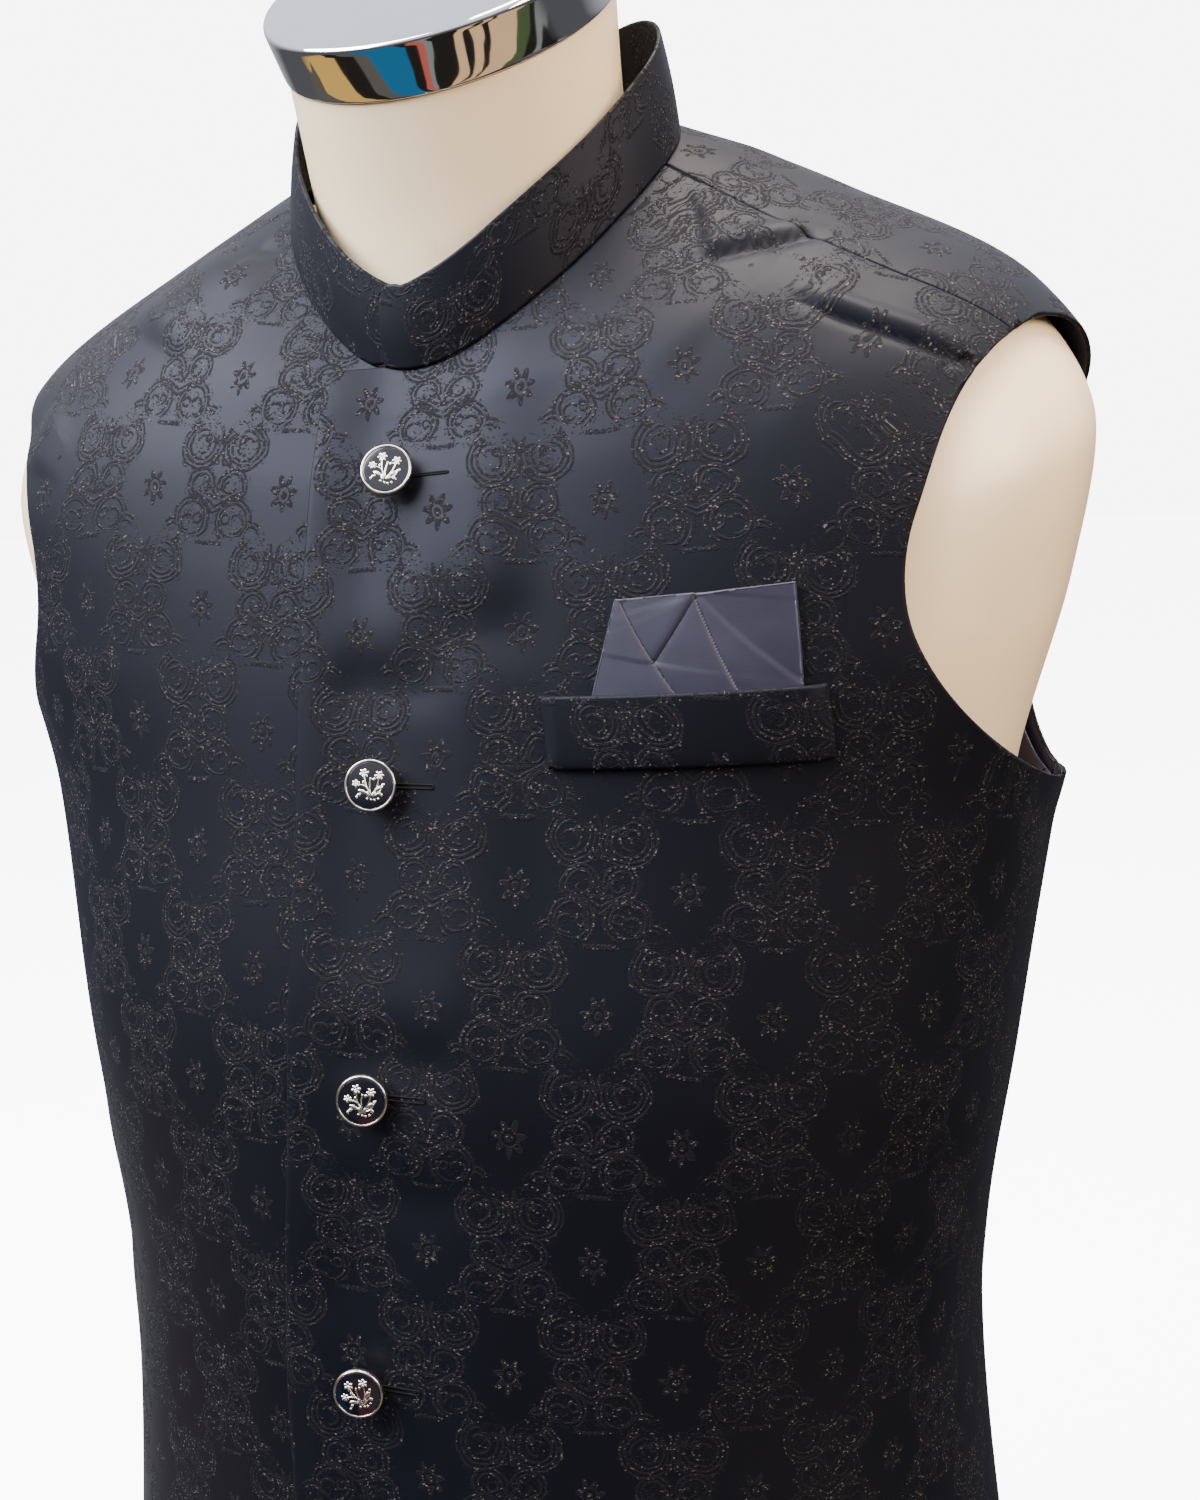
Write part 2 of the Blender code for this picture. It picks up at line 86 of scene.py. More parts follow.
# %% [markdown]
# ## One surface for the whole jacket
# A jacket pattern is drafted from a few girths. Here each girth is a rounded ellipse, and the
# table below holds one for every line a tailor would measure: hem, waist, chest, shoulder, neck.
# A smooth curve through each column joins them. Every point of the cloth then has a simple name:
# a level, in mm up the jacket, and an angle round the body, with -90 degrees at the centre front
# and 0 on the wearer's left side. The form underneath has a table of its own, 3 to 9 mm smaller.

# %% Girths of the jacket and of the form, mm
# levels of the jacket's lines
HEM = 75.0
ARMPIT = 548.0
SHOULDER_END = 735.0
NECKLINE = 870.0
ORIGIN_Y = 23.8          # moves the sections back, so that y = 0 is the middle of the whole

# columns: level, height, half width, reach to the front and to the back, power of the ellipse,
# climb from front to back, climb towards both sides, centre in y, power of the front half
JACKET = np.array((
    (75.0, 75.0, 194.0, 148.0, 103.5, 2.25, 0.00, 0.0, 0.0, 2.25),
    (170.0, 170.0, 189.5, 147.5, 99.5, 2.25, 0.00, 0.0, 0.0, 2.25),
    (345.0, 345.0, 175.5, 147.0, 93.5, 2.25, 0.00, 0.0, 0.0, 2.25),
    (450.0, 450.0, 189.5, 144.5, 101.5, 2.25, 0.00, 0.0, 0.0, 2.25),
    (548.0, 548.0, 205.0, 132.0, 109.5, 2.25, 0.05, 0.0, 2.0, 2.25),
    (625.0, 622.0, 223.0, 116.5, 107.5, 2.30, 0.18, 0.0, -3.0, 2.30),
    (680.0, 666.0, 225.0, 104.5, 97.5, 2.35, 0.30, 6.0, -7.5, 2.35),
    (735.0, 699.5, 200.0, 86.5, 85.5, 2.40, 0.42, 14.5, -17.5, 2.40),
    (800.0, 717.5, 140.5, 66.0, 78.0, 2.45, 0.53, 24.5, -30.0, 2.35),
    (870.0, 744.5, 74.5, 62.5, 52.0, 1.90, 0.72, 29.5, -25.0, 1.80),
))
FORM = np.array((
    (0.0, 0.0, 182.0, 138.0, 94.0, 2.25, 0.00, 0.0, 0.0, 2.25),
    (5.0, 5.0, 185.0, 141.0, 97.0, 2.25, 0.00, 0.0, 0.0, 2.25),
    (75.0, 75.0, 185.0, 142.0, 96.0, 2.25, 0.00, 0.0, 0.0, 2.25),
    (170.0, 170.0, 180.0, 142.0, 92.0, 2.25, 0.00, 0.0, 0.0, 2.25),
    (345.0, 345.0, 166.0, 139.0, 86.0, 2.25, 0.00, 0.0, 0.0, 2.25),
    (450.0, 450.0, 177.0, 137.0, 94.0, 2.25, 0.00, 0.0, 0.0, 2.25),
    (548.0, 548.0, 189.0, 126.0, 103.0, 2.25, 0.05, 0.0, 2.0, 2.25),
    (625.0, 621.0, 210.0, 111.5, 102.5, 2.30, 0.18, 0.0, -3.0, 2.30),
    (680.0, 664.0, 218.5, 100.5, 93.5, 2.35, 0.30, 6.0, -7.5, 2.35),
    (735.0, 696.0, 196.5, 82.5, 81.5, 2.40, 0.42, 14.5, -17.5, 2.40),
    (800.0, 714.0, 137.0, 62.0, 74.0, 2.45, 0.53, 24.5, -30.0, 2.35),
    (870.0, 741.0, 71.0, 58.5, 48.5, 1.90, 0.72, 29.5, -25.0, 1.80),
    (895.0, 755.0, 62.5, 48.0, 48.0, 2.00, 0.70, 17.0, -30.5, 1.90),
    (925.0, 779.0, 59.5, 44.5, 50.0, 2.00, 0.67, 6.0, -39.0, 2.00),
    (960.0, 821.6, 60.5, 50.2, 50.2, 2.00, 0.6745, 0.0, -46.0, 2.00),
))
print("jacket girths:", len(JACKET), "form girths:", len(FORM))


# %% Read a table at any level
def read_sections(table, level):
    """Each column at the given levels: a cubic between two rows, whose slopes are the harmonic
    means of the slopes on either side, so that the curve never overshoots a row."""
    x = table[:, 0]
    y = table[:, 1:]
    step = np.diff(x)[:, None]
    slope = np.diff(y, axis=0) / step
    before = step[:-1] + 2.0 * step[1:]
    after = 2.0 * step[:-1] + step[1:]
    same_way = slope[:-1] * slope[1:] > 0.0
    low = np.where(same_way, slope[:-1], 1.0)
    high = np.where(same_way, slope[1:], 1.0)
    tangent = np.zeros_like(y)
    tangent[1:-1] = np.where(same_way, (before + after) / (before / low + after / high), 0.0)
    tangent[0] = slope[0]
    tangent[-1] = slope[-1]
    i = np.clip(np.searchsorted(x, level, side="right") - 1, 0, len(x) - 2)
    t = ((level - x[i]) / (x[i + 1] - x[i]))[:, None]
    h = step[i]
    return (
        (2 * t**3 - 3 * t**2 + 1) * y[i]
        + (t**3 - 2 * t**2 + t) * h * tangent[i]
        + (3 * t**2 - 2 * t**3) * y[i + 1]
        + (t**3 - t**2) * h * tangent[i + 1]
    )


def surface(table, level, angle, out=0.0):
    """Points at these levels and angles, in mm. On a rounded ellipse the reach in a direction is
    (|cos/half|^p + |sin/depth|^p)^(-1/p); half and depth are first made larger by out."""
    level, angle, out = np.broadcast_arrays(*np.atleast_1d(level, angle, out))
    columns = read_sections(table, level.ravel()).T.reshape((-1,) + level.shape)
    z, half, front, back, power, tilt, lift, centre, front_power = columns
    turn = np.radians(angle)
    side = np.cos(turn)
    ahead = np.sin(turn)
    depth = np.where(ahead < 0.0, front, back) + out
    power = np.where(ahead < 0.0, front_power, power)
    reach = (np.abs(side / (half + out)) ** power + np.abs(ahead / depth) ** power) ** (-1 / power)
    y = reach * ahead
    return np.stack([reach * side, centre + y + ORIGIN_Y, z + tilt * y + lift * side**2], axis=-1)


def normals(level, angle):
    """Unit normals of the jacket's surface, pointing out, from two short steps along it."""
    up = surface(JACKET, level + 0.5, angle) - surface(JACKET, level - 0.5, angle)
    along = surface(JACKET, level, angle + 0.2) - surface(JACKET, level, angle - 0.2)
    cross = np.cross(along, up)
    return cross / np.linalg.norm(cross, axis=-1, keepdims=True)


def angle_at(table, level, x):
    """Angle on the front half at which the section of this level has this x."""
    columns = read_sections(table, np.ravel(level)).T.reshape((-1,) + np.shape(level))
    half, front, power = columns[1], columns[2], columns[8]
    y = -front * (1.0 - np.abs(x / half) ** power) ** (1.0 / power)
    return np.degrees(np.arctan2(y, x))


chest = surface(JACKET, ARMPIT, np.linspace(-180.0, 180.0, 721))
print("chest girth, mm:", round(float(np.linalg.norm(np.diff(chest, axis=0), axis=1).sum())))

# %% [markdown]
# ## Cloth as a wall with turned edges
# A made-up jacket panel is jacquard, interlining and lining pressed together, about 1.5 mm thick,
# and its edges are turned in, so they are round and plump and not cut square. A Solidify modifier
# would give square edges. Instead the wall is made directly: the grid moved out along its normals,
# the grid itself, and between them a half circle carried round the edge. Each point also keeps its
# place in the flat cut, as the UV map "cloth", so that the weave runs along the cloth.

# %% Grids, normals and the closed wall
EDGE_TURN = np.radians((45.0, 90.0, 135.0))


def smooth(t):
    """0 below 0, 1 above 1, and 3t^2 - 2t^3 between."""
    t = np.clip(t, 0.0, 1.0)
    return t * t * (3.0 - 2.0 * t)


def unit(vectors):
    """Each vector divided by its own length."""
    return vectors / np.linalg.norm(vectors, axis=-1, keepdims=True)


def grid_normals(points):
    """Unit normals of a grid: the cross product of its directions across and up."""
    return unit(np.cross(np.gradient(points, axis=1), np.gradient(points, axis=0)))


def rim_order(rows, columns):
    """Indexes of a grid's edge, once round, with the inside on the left."""
    index = np.arange(rows * columns).reshape(rows, columns)
    return np.concatenate((index[0, :-1], index[:-1, -1], index[-1, :0:-1], index[:0:-1, 0]))


def grid_faces(rows, columns):
    """The four corners of each face of a grid, by index: along the row, then up and back."""
    index = np.arange(rows * columns).reshape(rows, columns)
    corners = (index[:-1, :-1], index[:-1, 1:], index[1:, 1:], index[1:, :-1])
    return np.stack([c.ravel() for c in corners], axis=1)


def mesh_of(name, points, faces, materials, flat=None, material_index=None):
    """A smooth-shaded object from arrays: points in mm, faces of four, flat places in mm."""
    mesh = bpy.data.meshes.new(name)
    mesh.vertices.add(len(points))
    mesh.vertices.foreach_set("co", (points * MM).ravel())
    mesh.loops.add(faces.size)
    mesh.loops.foreach_set("vertex_index", faces.ravel())
    mesh.polygons.add(len(faces))
    mesh.polygons.foreach_set("loop_start", np.arange(0, faces.size, faces.shape[1]))
    if flat is not None:
        cloth = mesh.uv_layers.new(name="cloth")
        cloth.data.foreach_set("uv", (flat[faces.ravel()] * MM).ravel())
    for material in materials:
        mesh.materials.append(material)
    if material_index is not None:
        mesh.polygons.foreach_set("material_index", material_index)
    mesh.update(calc_edges=True)
    mesh.validate()
    mesh.shade_smooth()
    piece = bpy.data.objects.new(name, mesh)
    bpy.context.scene.collection.objects.link(piece)
    return piece


def closed_wall(name, inner, thickness, flat, materials):
    """A closed wall on a grid: the outer face is the grid moved out by the thickness, and round
    the edge the half circle centre + t/2 (cos a * normal + sin a * edge direction) joins the two.
    The second material, if there is one, is that of the inner face."""
    rows, columns = inner.shape[:2]
    normal = grid_normals(inner)
    rim = rim_order(rows, columns)
    rim_normal = normal.reshape(-1, 3)[rim]
    rim_points = inner.reshape(-1, 3)[rim]
    along = np.roll(rim_points, -1, axis=0) - np.roll(rim_points, 1, axis=0)
    outward = unit(np.cross(along, rim_normal))
    drawn_in = inner.reshape(-1, 3).copy()
    drawn_in[rim] -= outward * thickness / 2
    outer = drawn_in + normal.reshape(-1, 3) * thickness
    centre = drawn_in[rim] + rim_normal * thickness / 2
    turns = [
        centre + thickness / 2 * (math.cos(a) * rim_normal + math.sin(a) * outward) for a in EDGE_TURN
    ]
    points = np.concatenate([outer, drawn_in] + turns)
    count = rows * columns
    sheet = grid_faces(rows, columns)
    first_turn = 2 * count
    turned_loops = [first_turn + k * len(rim) + np.arange(len(rim)) for k in range(len(turns))]
    loops = [rim] + turned_loops + [rim + count]
    bands = [
        np.stack((a, b, np.roll(b, -1), np.roll(a, -1)), axis=1) for a, b in zip(loops[:-1], loops[1:])
    ]
    faces = np.concatenate([sheet, sheet[:, ::-1] + count] + bands)
    flat_rows = flat.reshape(-1, 2)
    flat_all = np.concatenate([flat_rows, flat_rows] + [flat_rows[rim]] * len(turns))
    inside = np.zeros(len(faces), dtype=np.int32)
    inside[len(sheet):2 * len(sheet)] = min(len(materials), 2) - 1
    return mesh_of(name, points, faces, materials, flat_all, inside)


print("turned edge drawn with", len(EDGE_TURN) + 2, "points round")

# %% [markdown]
# ## The flat cut
# Cloth bends but hardly stretches, so each panel has a flat shape it was cut to. It is found the
# way a tailor would lay a toile down again: start from the lengths along the rows and up the
# columns, then let every grid edge and diagonal push or pull its two ends until it has the length
# it has on the body. Coarse grids settle first and hand their shape to the finer ones.

# %% Lay a panel flat
FLAT_STRIDES = ((12, 500), (4, 250))   # every so many grid lines, and how many rounds of pushing
PUSH = 0.35                            # share of each correction that is taken in one round


def spread(coarse, rows, columns):
    """A coarse grid of values, read between its own lines at rows x columns places."""
    i = np.linspace(0.0, coarse.shape[0] - 1.0, rows)
    j = np.linspace(0.0, coarse.shape[1] - 1.0, columns)
    i0 = np.minimum(i.astype(int), coarse.shape[0] - 2)
    j0 = np.minimum(j.astype(int), coarse.shape[1] - 2)
    a = (i - i0)[:, None, None]
    b = (j - j0)[None, :, None]
    low = coarse[i0][:, j0] * (1 - b) + coarse[i0][:, j0 + 1] * b
    high = coarse[i0 + 1][:, j0] * (1 - b) + coarse[i0 + 1][:, j0 + 1] * b
    return low * (1 - a) + high * a


def pushed(flat, solid, rounds):
    """Flat places whose edges and diagonals take the lengths that they have on the solid."""
    ends = (
        (np.s_[:-1, :], np.s_[1:, :]),
        (np.s_[:, :-1], np.s_[:, 1:]),
        (np.s_[:-1, :-1], np.s_[1:, 1:]),
        (np.s_[1:, :-1], np.s_[:-1, 1:]),
    )
    lengths = [np.linalg.norm(solid[b] - solid[a], axis=-1) for a, b in ends]
    for _ in range(rounds):
        push = np.zeros_like(flat)
        for (a, b), length in zip(ends, lengths):
            gap = flat[b] - flat[a]
            now = np.maximum(np.linalg.norm(gap, axis=-1), 1e-6)
            move = gap * (0.5 * (1.0 - length / now))[..., None]
            push[a] += move
            push[b] -= move
        flat = flat + PUSH * push
    return flat


def laid_flat(points, grain_column):
    """(flat places in mm, flat area in m2): the grain column ends upright, with its foot at 0, 0."""
    start = points[::FLAT_STRIDES[0][0], ::FLAT_STRIDES[0][0]]
    grain = grain_column // FLAT_STRIDES[0][0]
    across = np.linalg.norm(np.diff(start, axis=1), axis=-1)
    across = np.concatenate((np.zeros((len(start), 1)), np.cumsum(across, axis=1)), axis=1)
    rise = np.linalg.norm(np.diff(start[:, grain], axis=0), axis=-1)
    rise = np.concatenate(((0.0,), np.cumsum(rise)))
    across = across - across[:, grain:grain + 1]
    flat = np.stack(np.broadcast_arrays(across, rise[:, None]), axis=-1)
    for stride, rounds in FLAT_STRIDES:
        solid = points[::stride, ::stride]
        flat = pushed(spread(flat, *solid.shape[:2]), solid, rounds)
    flat = spread(flat, *points.shape[:2])
    up = unit(flat[-1, grain_column] - flat[0, grain_column])
    turned = np.stack((flat[..., 0] * up[1] - flat[..., 1] * up[0], flat @ up), axis=-1)
    turned -= turned[0, grain_column]
    one = turned[1:, 1:] - turned[:-1, :-1]
    two = turned[1:, :-1] - turned[:-1, 1:]
    area = 0.5 * np.abs(one[..., 0] * two[..., 1] - one[..., 1] * two[..., 0]).sum() * MM * MM
    return turned, float(area)


print("flattening strides:", FLAT_STRIDES)

# %% [markdown]
# ## Finishes
# Every colour is written as sRGB hex, which is what a colour picker shows, and one function turns
# it to the linear values that a shader works in. One more function adds a node: its settings, its
# plain values and its links in one line.

# %% Colour and node helpers
def linear(colour):
    """Each channel c of a hex colour becomes c/12.92 below 0.04045, else ((c+0.055)/1.055)^2.4."""
    channels = [int(colour[i:i + 2], 16) / 255 for i in (1, 3, 5)]
    return tuple(c / 12.92 if c <= 0.04045 else ((c + 0.055) / 1.055) ** 2.4 for c in channels) + (1.0,)


def add(tree, kind, inputs=None, **settings):
    """A new node. An input that is given a node or an output is linked to it, else it is set."""
    node = tree.nodes.new("ShaderNode" + kind)
    for name, value in settings.items():
        setattr(node, name, value)
    for key, value in (inputs or {}).items():
        if isinstance(value, bpy.types.Node):
            value = value.outputs[0]
        if isinstance(value, bpy.types.NodeSocket):
            tree.links.new(value, node.inputs[key])
        else:
            node.inputs[key].default_value = value
    return node


def new_material(name):
    """An empty material: (material, node tree, its surface output)."""
    material = bpy.data.materials.new(name)
    material.use_nodes = True
    material.node_tree.nodes.clear()
    return material, material.node_tree, add(material.node_tree, "OutputMaterial")


print("linear value of mid grey:", round(linear("#808080")[0], 3))

# %% [markdown]
# The jacquard is one cloth with two faces showing: a ground of smooth satin floats, and figures in
# a duller, nubbly weave. The figure is a trellis of scrolls: a lyre of two big rings with hooks on
# top, a heart under it, two lower rings, and a small rosette alone in each opening. It repeats as a
# half drop, so the next column of figures stands half a repeat lower.
# To draw it, a point's place in the flat cut is folded into one half figure. Each scroll is then
# a set of thin rings, that is, places whose distance from a centre is a round number of strands,
# cut open on one side. Every part gives a distance, and the smallest one wins.

# %% The figure, in mm: x from its middle, y down from the rosette
REPEAT_WIDTH = 57.0
REPEAT_DROP = 83.0
STRAND = 1.75            # between two lines of a scroll
LINE = 0.44              # half width of a line
LINE_SOFT = 0.16         # half width of its soft edge
WOBBLE = 2.2             # how unevenly the lines are drawn
# columns: x, y, radius of the first line, lines, side that is cut open (degrees, 90 is down),
# how far from the centre the cut is (over the radius: none)
SCROLLS = (
    (11.2, 16.6, 3.0, 2, 145.0, 0.8),
    (9.3, 26.5, 5.6, 3, -115.0, 4.6),
    (9.6, 26.8, 3.2, 1, 25.0, 1.2),
    (7.6, 24.0, 1.3, 1, 0.0, 9.0),
    (6.8, 41.0, 4.3, 2, 120.0, 3.2),
    (5.6, 41.4, 2.2, 1, -60.0, 1.0),
    (9.3, 53.0, 5.8, 2, 80.0, 5.0),
    (10.8, 54.2, 2.9, 1, 160.0, 1.2),
    (6.2, 52.6, 1.6, 1, 20.0, 1.0),
    (2.3, 32.0, 1.5, 1, 90.0, 0.9),
)
HEART_POINT = (0.0, 50.6)
HEART_SIDE = (11.3, 44.6)
FANS = ((24.8, 5.6, 9.0), (45.6, 4.0, 7.0))   # y, size and number of leaves of each whole round
FAN_NOTCH = 0.4          # depth of the notches between its leaves
BUD = (1.0, 5.0, 7.0, 0.26)    # y, size, number of leaves and depth of the notches between them
BUD_HEART = (1.7, 0.9)   # radius and half width of the ring of ground around its heart
BUD_ABOVE = 12.0         # how far above y = 0 the bud may reach
BUD_SQUASH = 0.8         # its width over its height
BEADS = (61.2, 0.95, 0.45, 5.0)   # y, half spacing, radius, and where the row ends
BORDER = (37.5, 4.5, 0.55)   # y where a figure is widest, how far the border swings, its steepness
print("half-drop repeat", REPEAT_WIDTH, "x", REPEAT_DROP, "mm,", len(SCROLLS), "scrolls a side")


# %% Fold the flat cut into one half figure
def folded_place(tree):
    """(x, y) of a point in its figure. x is the distance to the nearest upright line of figures
    and y wraps at the repeat; where the neighbouring line's figure is nearer, its own x and y,
    half a repeat off both ways, are taken instead. The border between them waves once a repeat."""
    flat = add(tree, "UVMap", uv_map="cloth")
    millimetres = add(tree, "VectorMath", {0: flat, "Scale": 1000.0}, operation="SCALE")
    drift = add(tree, "TexNoise", {
        "Vector": millimetres, "Scale": 0.09, "Detail": 1.0}, noise_dimensions="2D")
    drift = add(tree, "VectorMath", {0: drift.outputs["Color"], 1: (-0.5, -0.5, 0.0)}, operation="ADD")
    drift = add(tree, "VectorMath", {0: drift, "Scale": WOBBLE}, operation="SCALE")
    place = add(tree, "VectorMath", {0: millimetres, 1: drift}, operation="ADD")
    place = add(tree, "SeparateXYZ", {0: place})
    x = add(tree, "Math", {0: place.outputs["X"], 1: REPEAT_WIDTH / 2}, operation="PINGPONG")
    down = add(tree, "Math", {0: place.outputs["Y"], 1: -1.0}, operation="MULTIPLY")
    y = add(tree, "Math", {0: down, 1: REPEAT_DROP, 2: 0.0}, operation="WRAP")
    widest, swing_out, steep = BORDER
    wave = add(tree, "Math", {0: y, 1: -widest}, operation="ADD")
    wave = add(tree, "Math", {0: wave, 1: 2 * math.pi / REPEAT_DROP}, operation="MULTIPLY")
    wave = add(tree, "Math", {0: wave}, operation="COSINE")
    border = add(tree, "MapRange", {
        "Value": wave, "From Min": -steep, "From Max": steep,
        "To Min": REPEAT_WIDTH / 4 - swing_out, "To Max": REPEAT_WIDTH / 4 + swing_out,
    })
    own = add(tree, "Math", {0: x, 1: border}, operation="LESS_THAN")
    other_x = add(tree, "Math", {0: REPEAT_WIDTH / 2, 1: x}, operation="SUBTRACT")
    other_y = add(tree, "Math", {0: y, 1: REPEAT_DROP / 2}, operation="ADD")
    other_y = add(tree, "Math", {0: other_y, 1: REPEAT_DROP, 2: 0.0}, operation="WRAP")
    x = add(tree, "Mix", {0: own, 2: other_x, 3: x})
    y = add(tree, "Mix", {0: own, 2: other_y, 3: y})
    return millimetres, x, y


def scroll_distance(tree, place, x, y, radius, lines, side, cut):
    """Distance to the nearest of the lines: the distance from the centre, less the first radius,
    less the nearest whole number of strands; then no less than how far the point is past the cut."""
    away = add(tree, "VectorMath", {0: place, 1: (x, y, 0.0)}, operation="SUBTRACT")
    reach = add(tree, "VectorMath", {0: away}, operation="LENGTH").outputs["Value"]
    past = add(tree, "Math", {0: reach, 1: -radius}, operation="ADD")
    if lines > 1:
        over = add(tree, "Math", {0: past, 1: STRAND / 2}, operation="ADD")
        strand = add(tree, "Math", {0: over, 1: STRAND}, operation="SNAP")
        strand = add(tree, "Math", {0: strand, 1: (lines - 1) * STRAND}, operation="MINIMUM")
        strand = add(tree, "Math", {0: strand, 1: 0.0}, operation="MAXIMUM")
        past = add(tree, "Math", {0: past, 1: strand}, operation="SUBTRACT")
    past = add(tree, "Math", {0: past}, operation="ABSOLUTE")
    way = (math.cos(math.radians(side)), math.sin(math.radians(side)), 0.0)
    beyond = add(tree, "VectorMath", {0: away, 1: way}, operation="DOT_PRODUCT").outputs["Value"]
    beyond = add(tree, "Math", {0: beyond, 1: -cut}, operation="ADD")
    return add(tree, "Math", {0: past, 1: beyond}, operation="MAXIMUM"), reach


def rosette_distance(tree, place, centre_y, size, leaves, notch):
    """Leaves around (0, centre_y): r - size (1 - notch + notch cos(leaves a)), and y - centre_y."""
    away = add(tree, "VectorMath", {0: place, 1: (0.0, centre_y, 0.0)}, operation="SUBTRACT")
    reach = add(tree, "VectorMath", {0: away}, operation="LENGTH").outputs["Value"]
    parts = add(tree, "SeparateXYZ", {0: away})
    turn = add(tree, "Math", {0: parts.outputs["X"], 1: parts.outputs["Y"]}, operation="ARCTAN2")
    turn = add(tree, "Math", {0: turn, 1: leaves}, operation="MULTIPLY")
    edge = add(tree, "Math", {0: turn}, operation="COSINE")
    edge = add(tree, "Math", {
        0: edge, 1: -notch * size, 2: (notch - 1.0) * size}, operation="MULTIPLY_ADD")
    return add(tree, "Math", {0: reach, 1: edge}, operation="ADD"), parts.outputs["Y"]


def fan_distance(tree, place, centre_y, size, leaves):
    """The upper half of a rosette: a fan of leaves that opens upwards."""
    leaf, down = rosette_distance(tree, place, centre_y, size, leaves, FAN_NOTCH)
    return add(tree, "Math", {0: leaf, 1: down}, operation="MAXIMUM")


def bud_distance(tree, x, y):
    """A bud: a rosette a little taller than wide, with a thin ring of ground around its heart."""
    wrapped = add(tree, "Math", {0: y, 1: REPEAT_DROP - BUD_ABOVE, 2: -BUD_ABOVE}, operation="WRAP")
    wrapped = add(tree, "Math", {0: wrapped, 1: BUD_SQUASH}, operation="MULTIPLY")
    place = add(tree, "CombineXYZ", {"X": x, "Y": wrapped})
    leaves, _ = rosette_distance(tree, place, *BUD)
    reach = add(tree, "VectorMath", {0: place, 1: (0.0, BUD[0], 0.0)}, operation="DISTANCE")
    ring = add(tree, "Math", {0: reach.outputs["Value"], 1: -BUD_HEART[0]}, operation="ADD")
    ring = add(tree, "Math", {0: ring}, operation="ABSOLUTE")
    ring = add(tree, "Math", {0: BUD_HEART[1], 1: ring}, operation="SUBTRACT")
    return add(tree, "Math", {0: leaves, 1: ring}, operation="MAXIMUM")


def heart_distance(tree, place, x, y):
    """The heart's two slanting lines: distance to the straight line between its side and point."""
    run = Vector((HEART_SIDE[0] - HEART_POINT[0], HEART_SIDE[1] - HEART_POINT[1])).normalized()
    way = (-run.y, run.x, 0.0)
    level = -run.y * HEART_POINT[0] + run.x * HEART_POINT[1]
    across = add(tree, "VectorMath", {0: place, 1: way}, operation="DOT_PRODUCT").outputs["Value"]
    across = add(tree, "Math", {0: across, 1: STRAND / 2 - level}, operation="ADD")
    across = add(tree, "Math", {0: across}, operation="ABSOLUTE")
    across = add(tree, "Math", {0: across, 1: -STRAND / 2}, operation="ADD")
    across = add(tree, "Math", {0: across}, operation="ABSOLUTE")
    wide = add(tree, "Math", {0: x, 1: -HEART_SIDE[0]}, operation="ADD")
    high = add(tree, "Math", {0: HEART_SIDE[1] - 1.0, 1: y}, operation="SUBTRACT")
    outside = add(tree, "Math", {0: wide, 1: high}, operation="MAXIMUM")
    return add(tree, "Math", {0: across, 1: outside}, operation="MAXIMUM")


def bead_distance(tree, x, y):
    """A short row of beads below the lower rings."""
    row_y, half_spacing, radius, end = BEADS
    along = add(tree, "Math", {0: x, 1: half_spacing}, operation="PINGPONG")
    place = add(tree, "CombineXYZ", {"X": along, "Y": y})
    away = add(tree, "VectorMath", {0: place, 1: (0.0, row_y, 0.0)}, operation="DISTANCE")
    away = add(tree, "Math", {0: away.outputs["Value"], 1: -radius}, operation="ADD")
    wide = add(tree, "Math", {0: x, 1: -end}, operation="ADD")
    return add(tree, "Math", {0: away, 1: wide}, operation="MAXIMUM")


def figure(tree):
    """(flat place in mm, figure from 0 to 1, leafy filling from 0 to 1)."""
    millimetres, x, y = folded_place(tree)
    x, y = x.outputs[0], y.outputs[0]
    place = add(tree, "CombineXYZ", {"X": x, "Y": y}).outputs[0]
    near = bud_distance(tree, x, y)
    body = 1000.0            # farther than any scroll, so that the first one replaces it
    for row in SCROLLS:
        lines, reach = scroll_distance(tree, place, *row)
        near = add(tree, "Math", {0: near, 1: lines}, operation="MINIMUM")
        if row[3] > 1:
            inside = add(tree, "Math", {0: reach, 1: -row[2] - row[3] * STRAND}, operation="ADD")
            body = add(tree, "Math", {0: body, 1: inside}, operation="MINIMUM")
    parts = [fan_distance(tree, place, *row) for row in FANS]
    parts += [heart_distance(tree, place, x, y), bead_distance(tree, x, y)]
    for part in parts:
        near = add(tree, "Math", {0: near, 1: part}, operation="MINIMUM")
    lines = add(tree, "MapRange", {
        "Value": near, "From Min": LINE + LINE_SOFT, "From Max": LINE - LINE_SOFT})
    filling = add(tree, "MapRange", {"Value": body, "From Min": 0.4, "From Max": -0.6})
    return millimetres, lines, filling


print("the figure's distances are joined by their minimum")

# %% [markdown]
# In the real cloth the ground's long floats lie flat and catch a soft, bluish light, while the
# figure's short floats scatter it and glint here and there. So the ground is a bluish black and
# smoother, with a low broad highlight, and the figure is a warmer black, rough and raised by a
# fraction of a millimetre. Its glints are painted: a few single specks get a lighter colour, a
# painted glint that stands in for a highlight. Real threads are about 0.1 mm apart; the specks are
# drawn 0.6 mm long so that they show.

# %% Jacquard
GROUND = "#07080c"
GROUND_SLUB = "#0a0b11"
FIGURE = "#0f0d0e"
# the glint colour below is a painted glint: a lighter colour on a few raised specks, in place of a
# highlight; the glint share below says on how many
PAINTED_GLINT = "#57524e"
THREAD_SPECK = 0.62      # mm, length of a speck
FILLED = 0.12            # share of the specks inside a scroll that are raised
WORN = 0.10              # share of the specks in a line that are flat
PAINTED_GLINT_SHARE = 0.10          # share of the raised specks that glint, from a little to fully


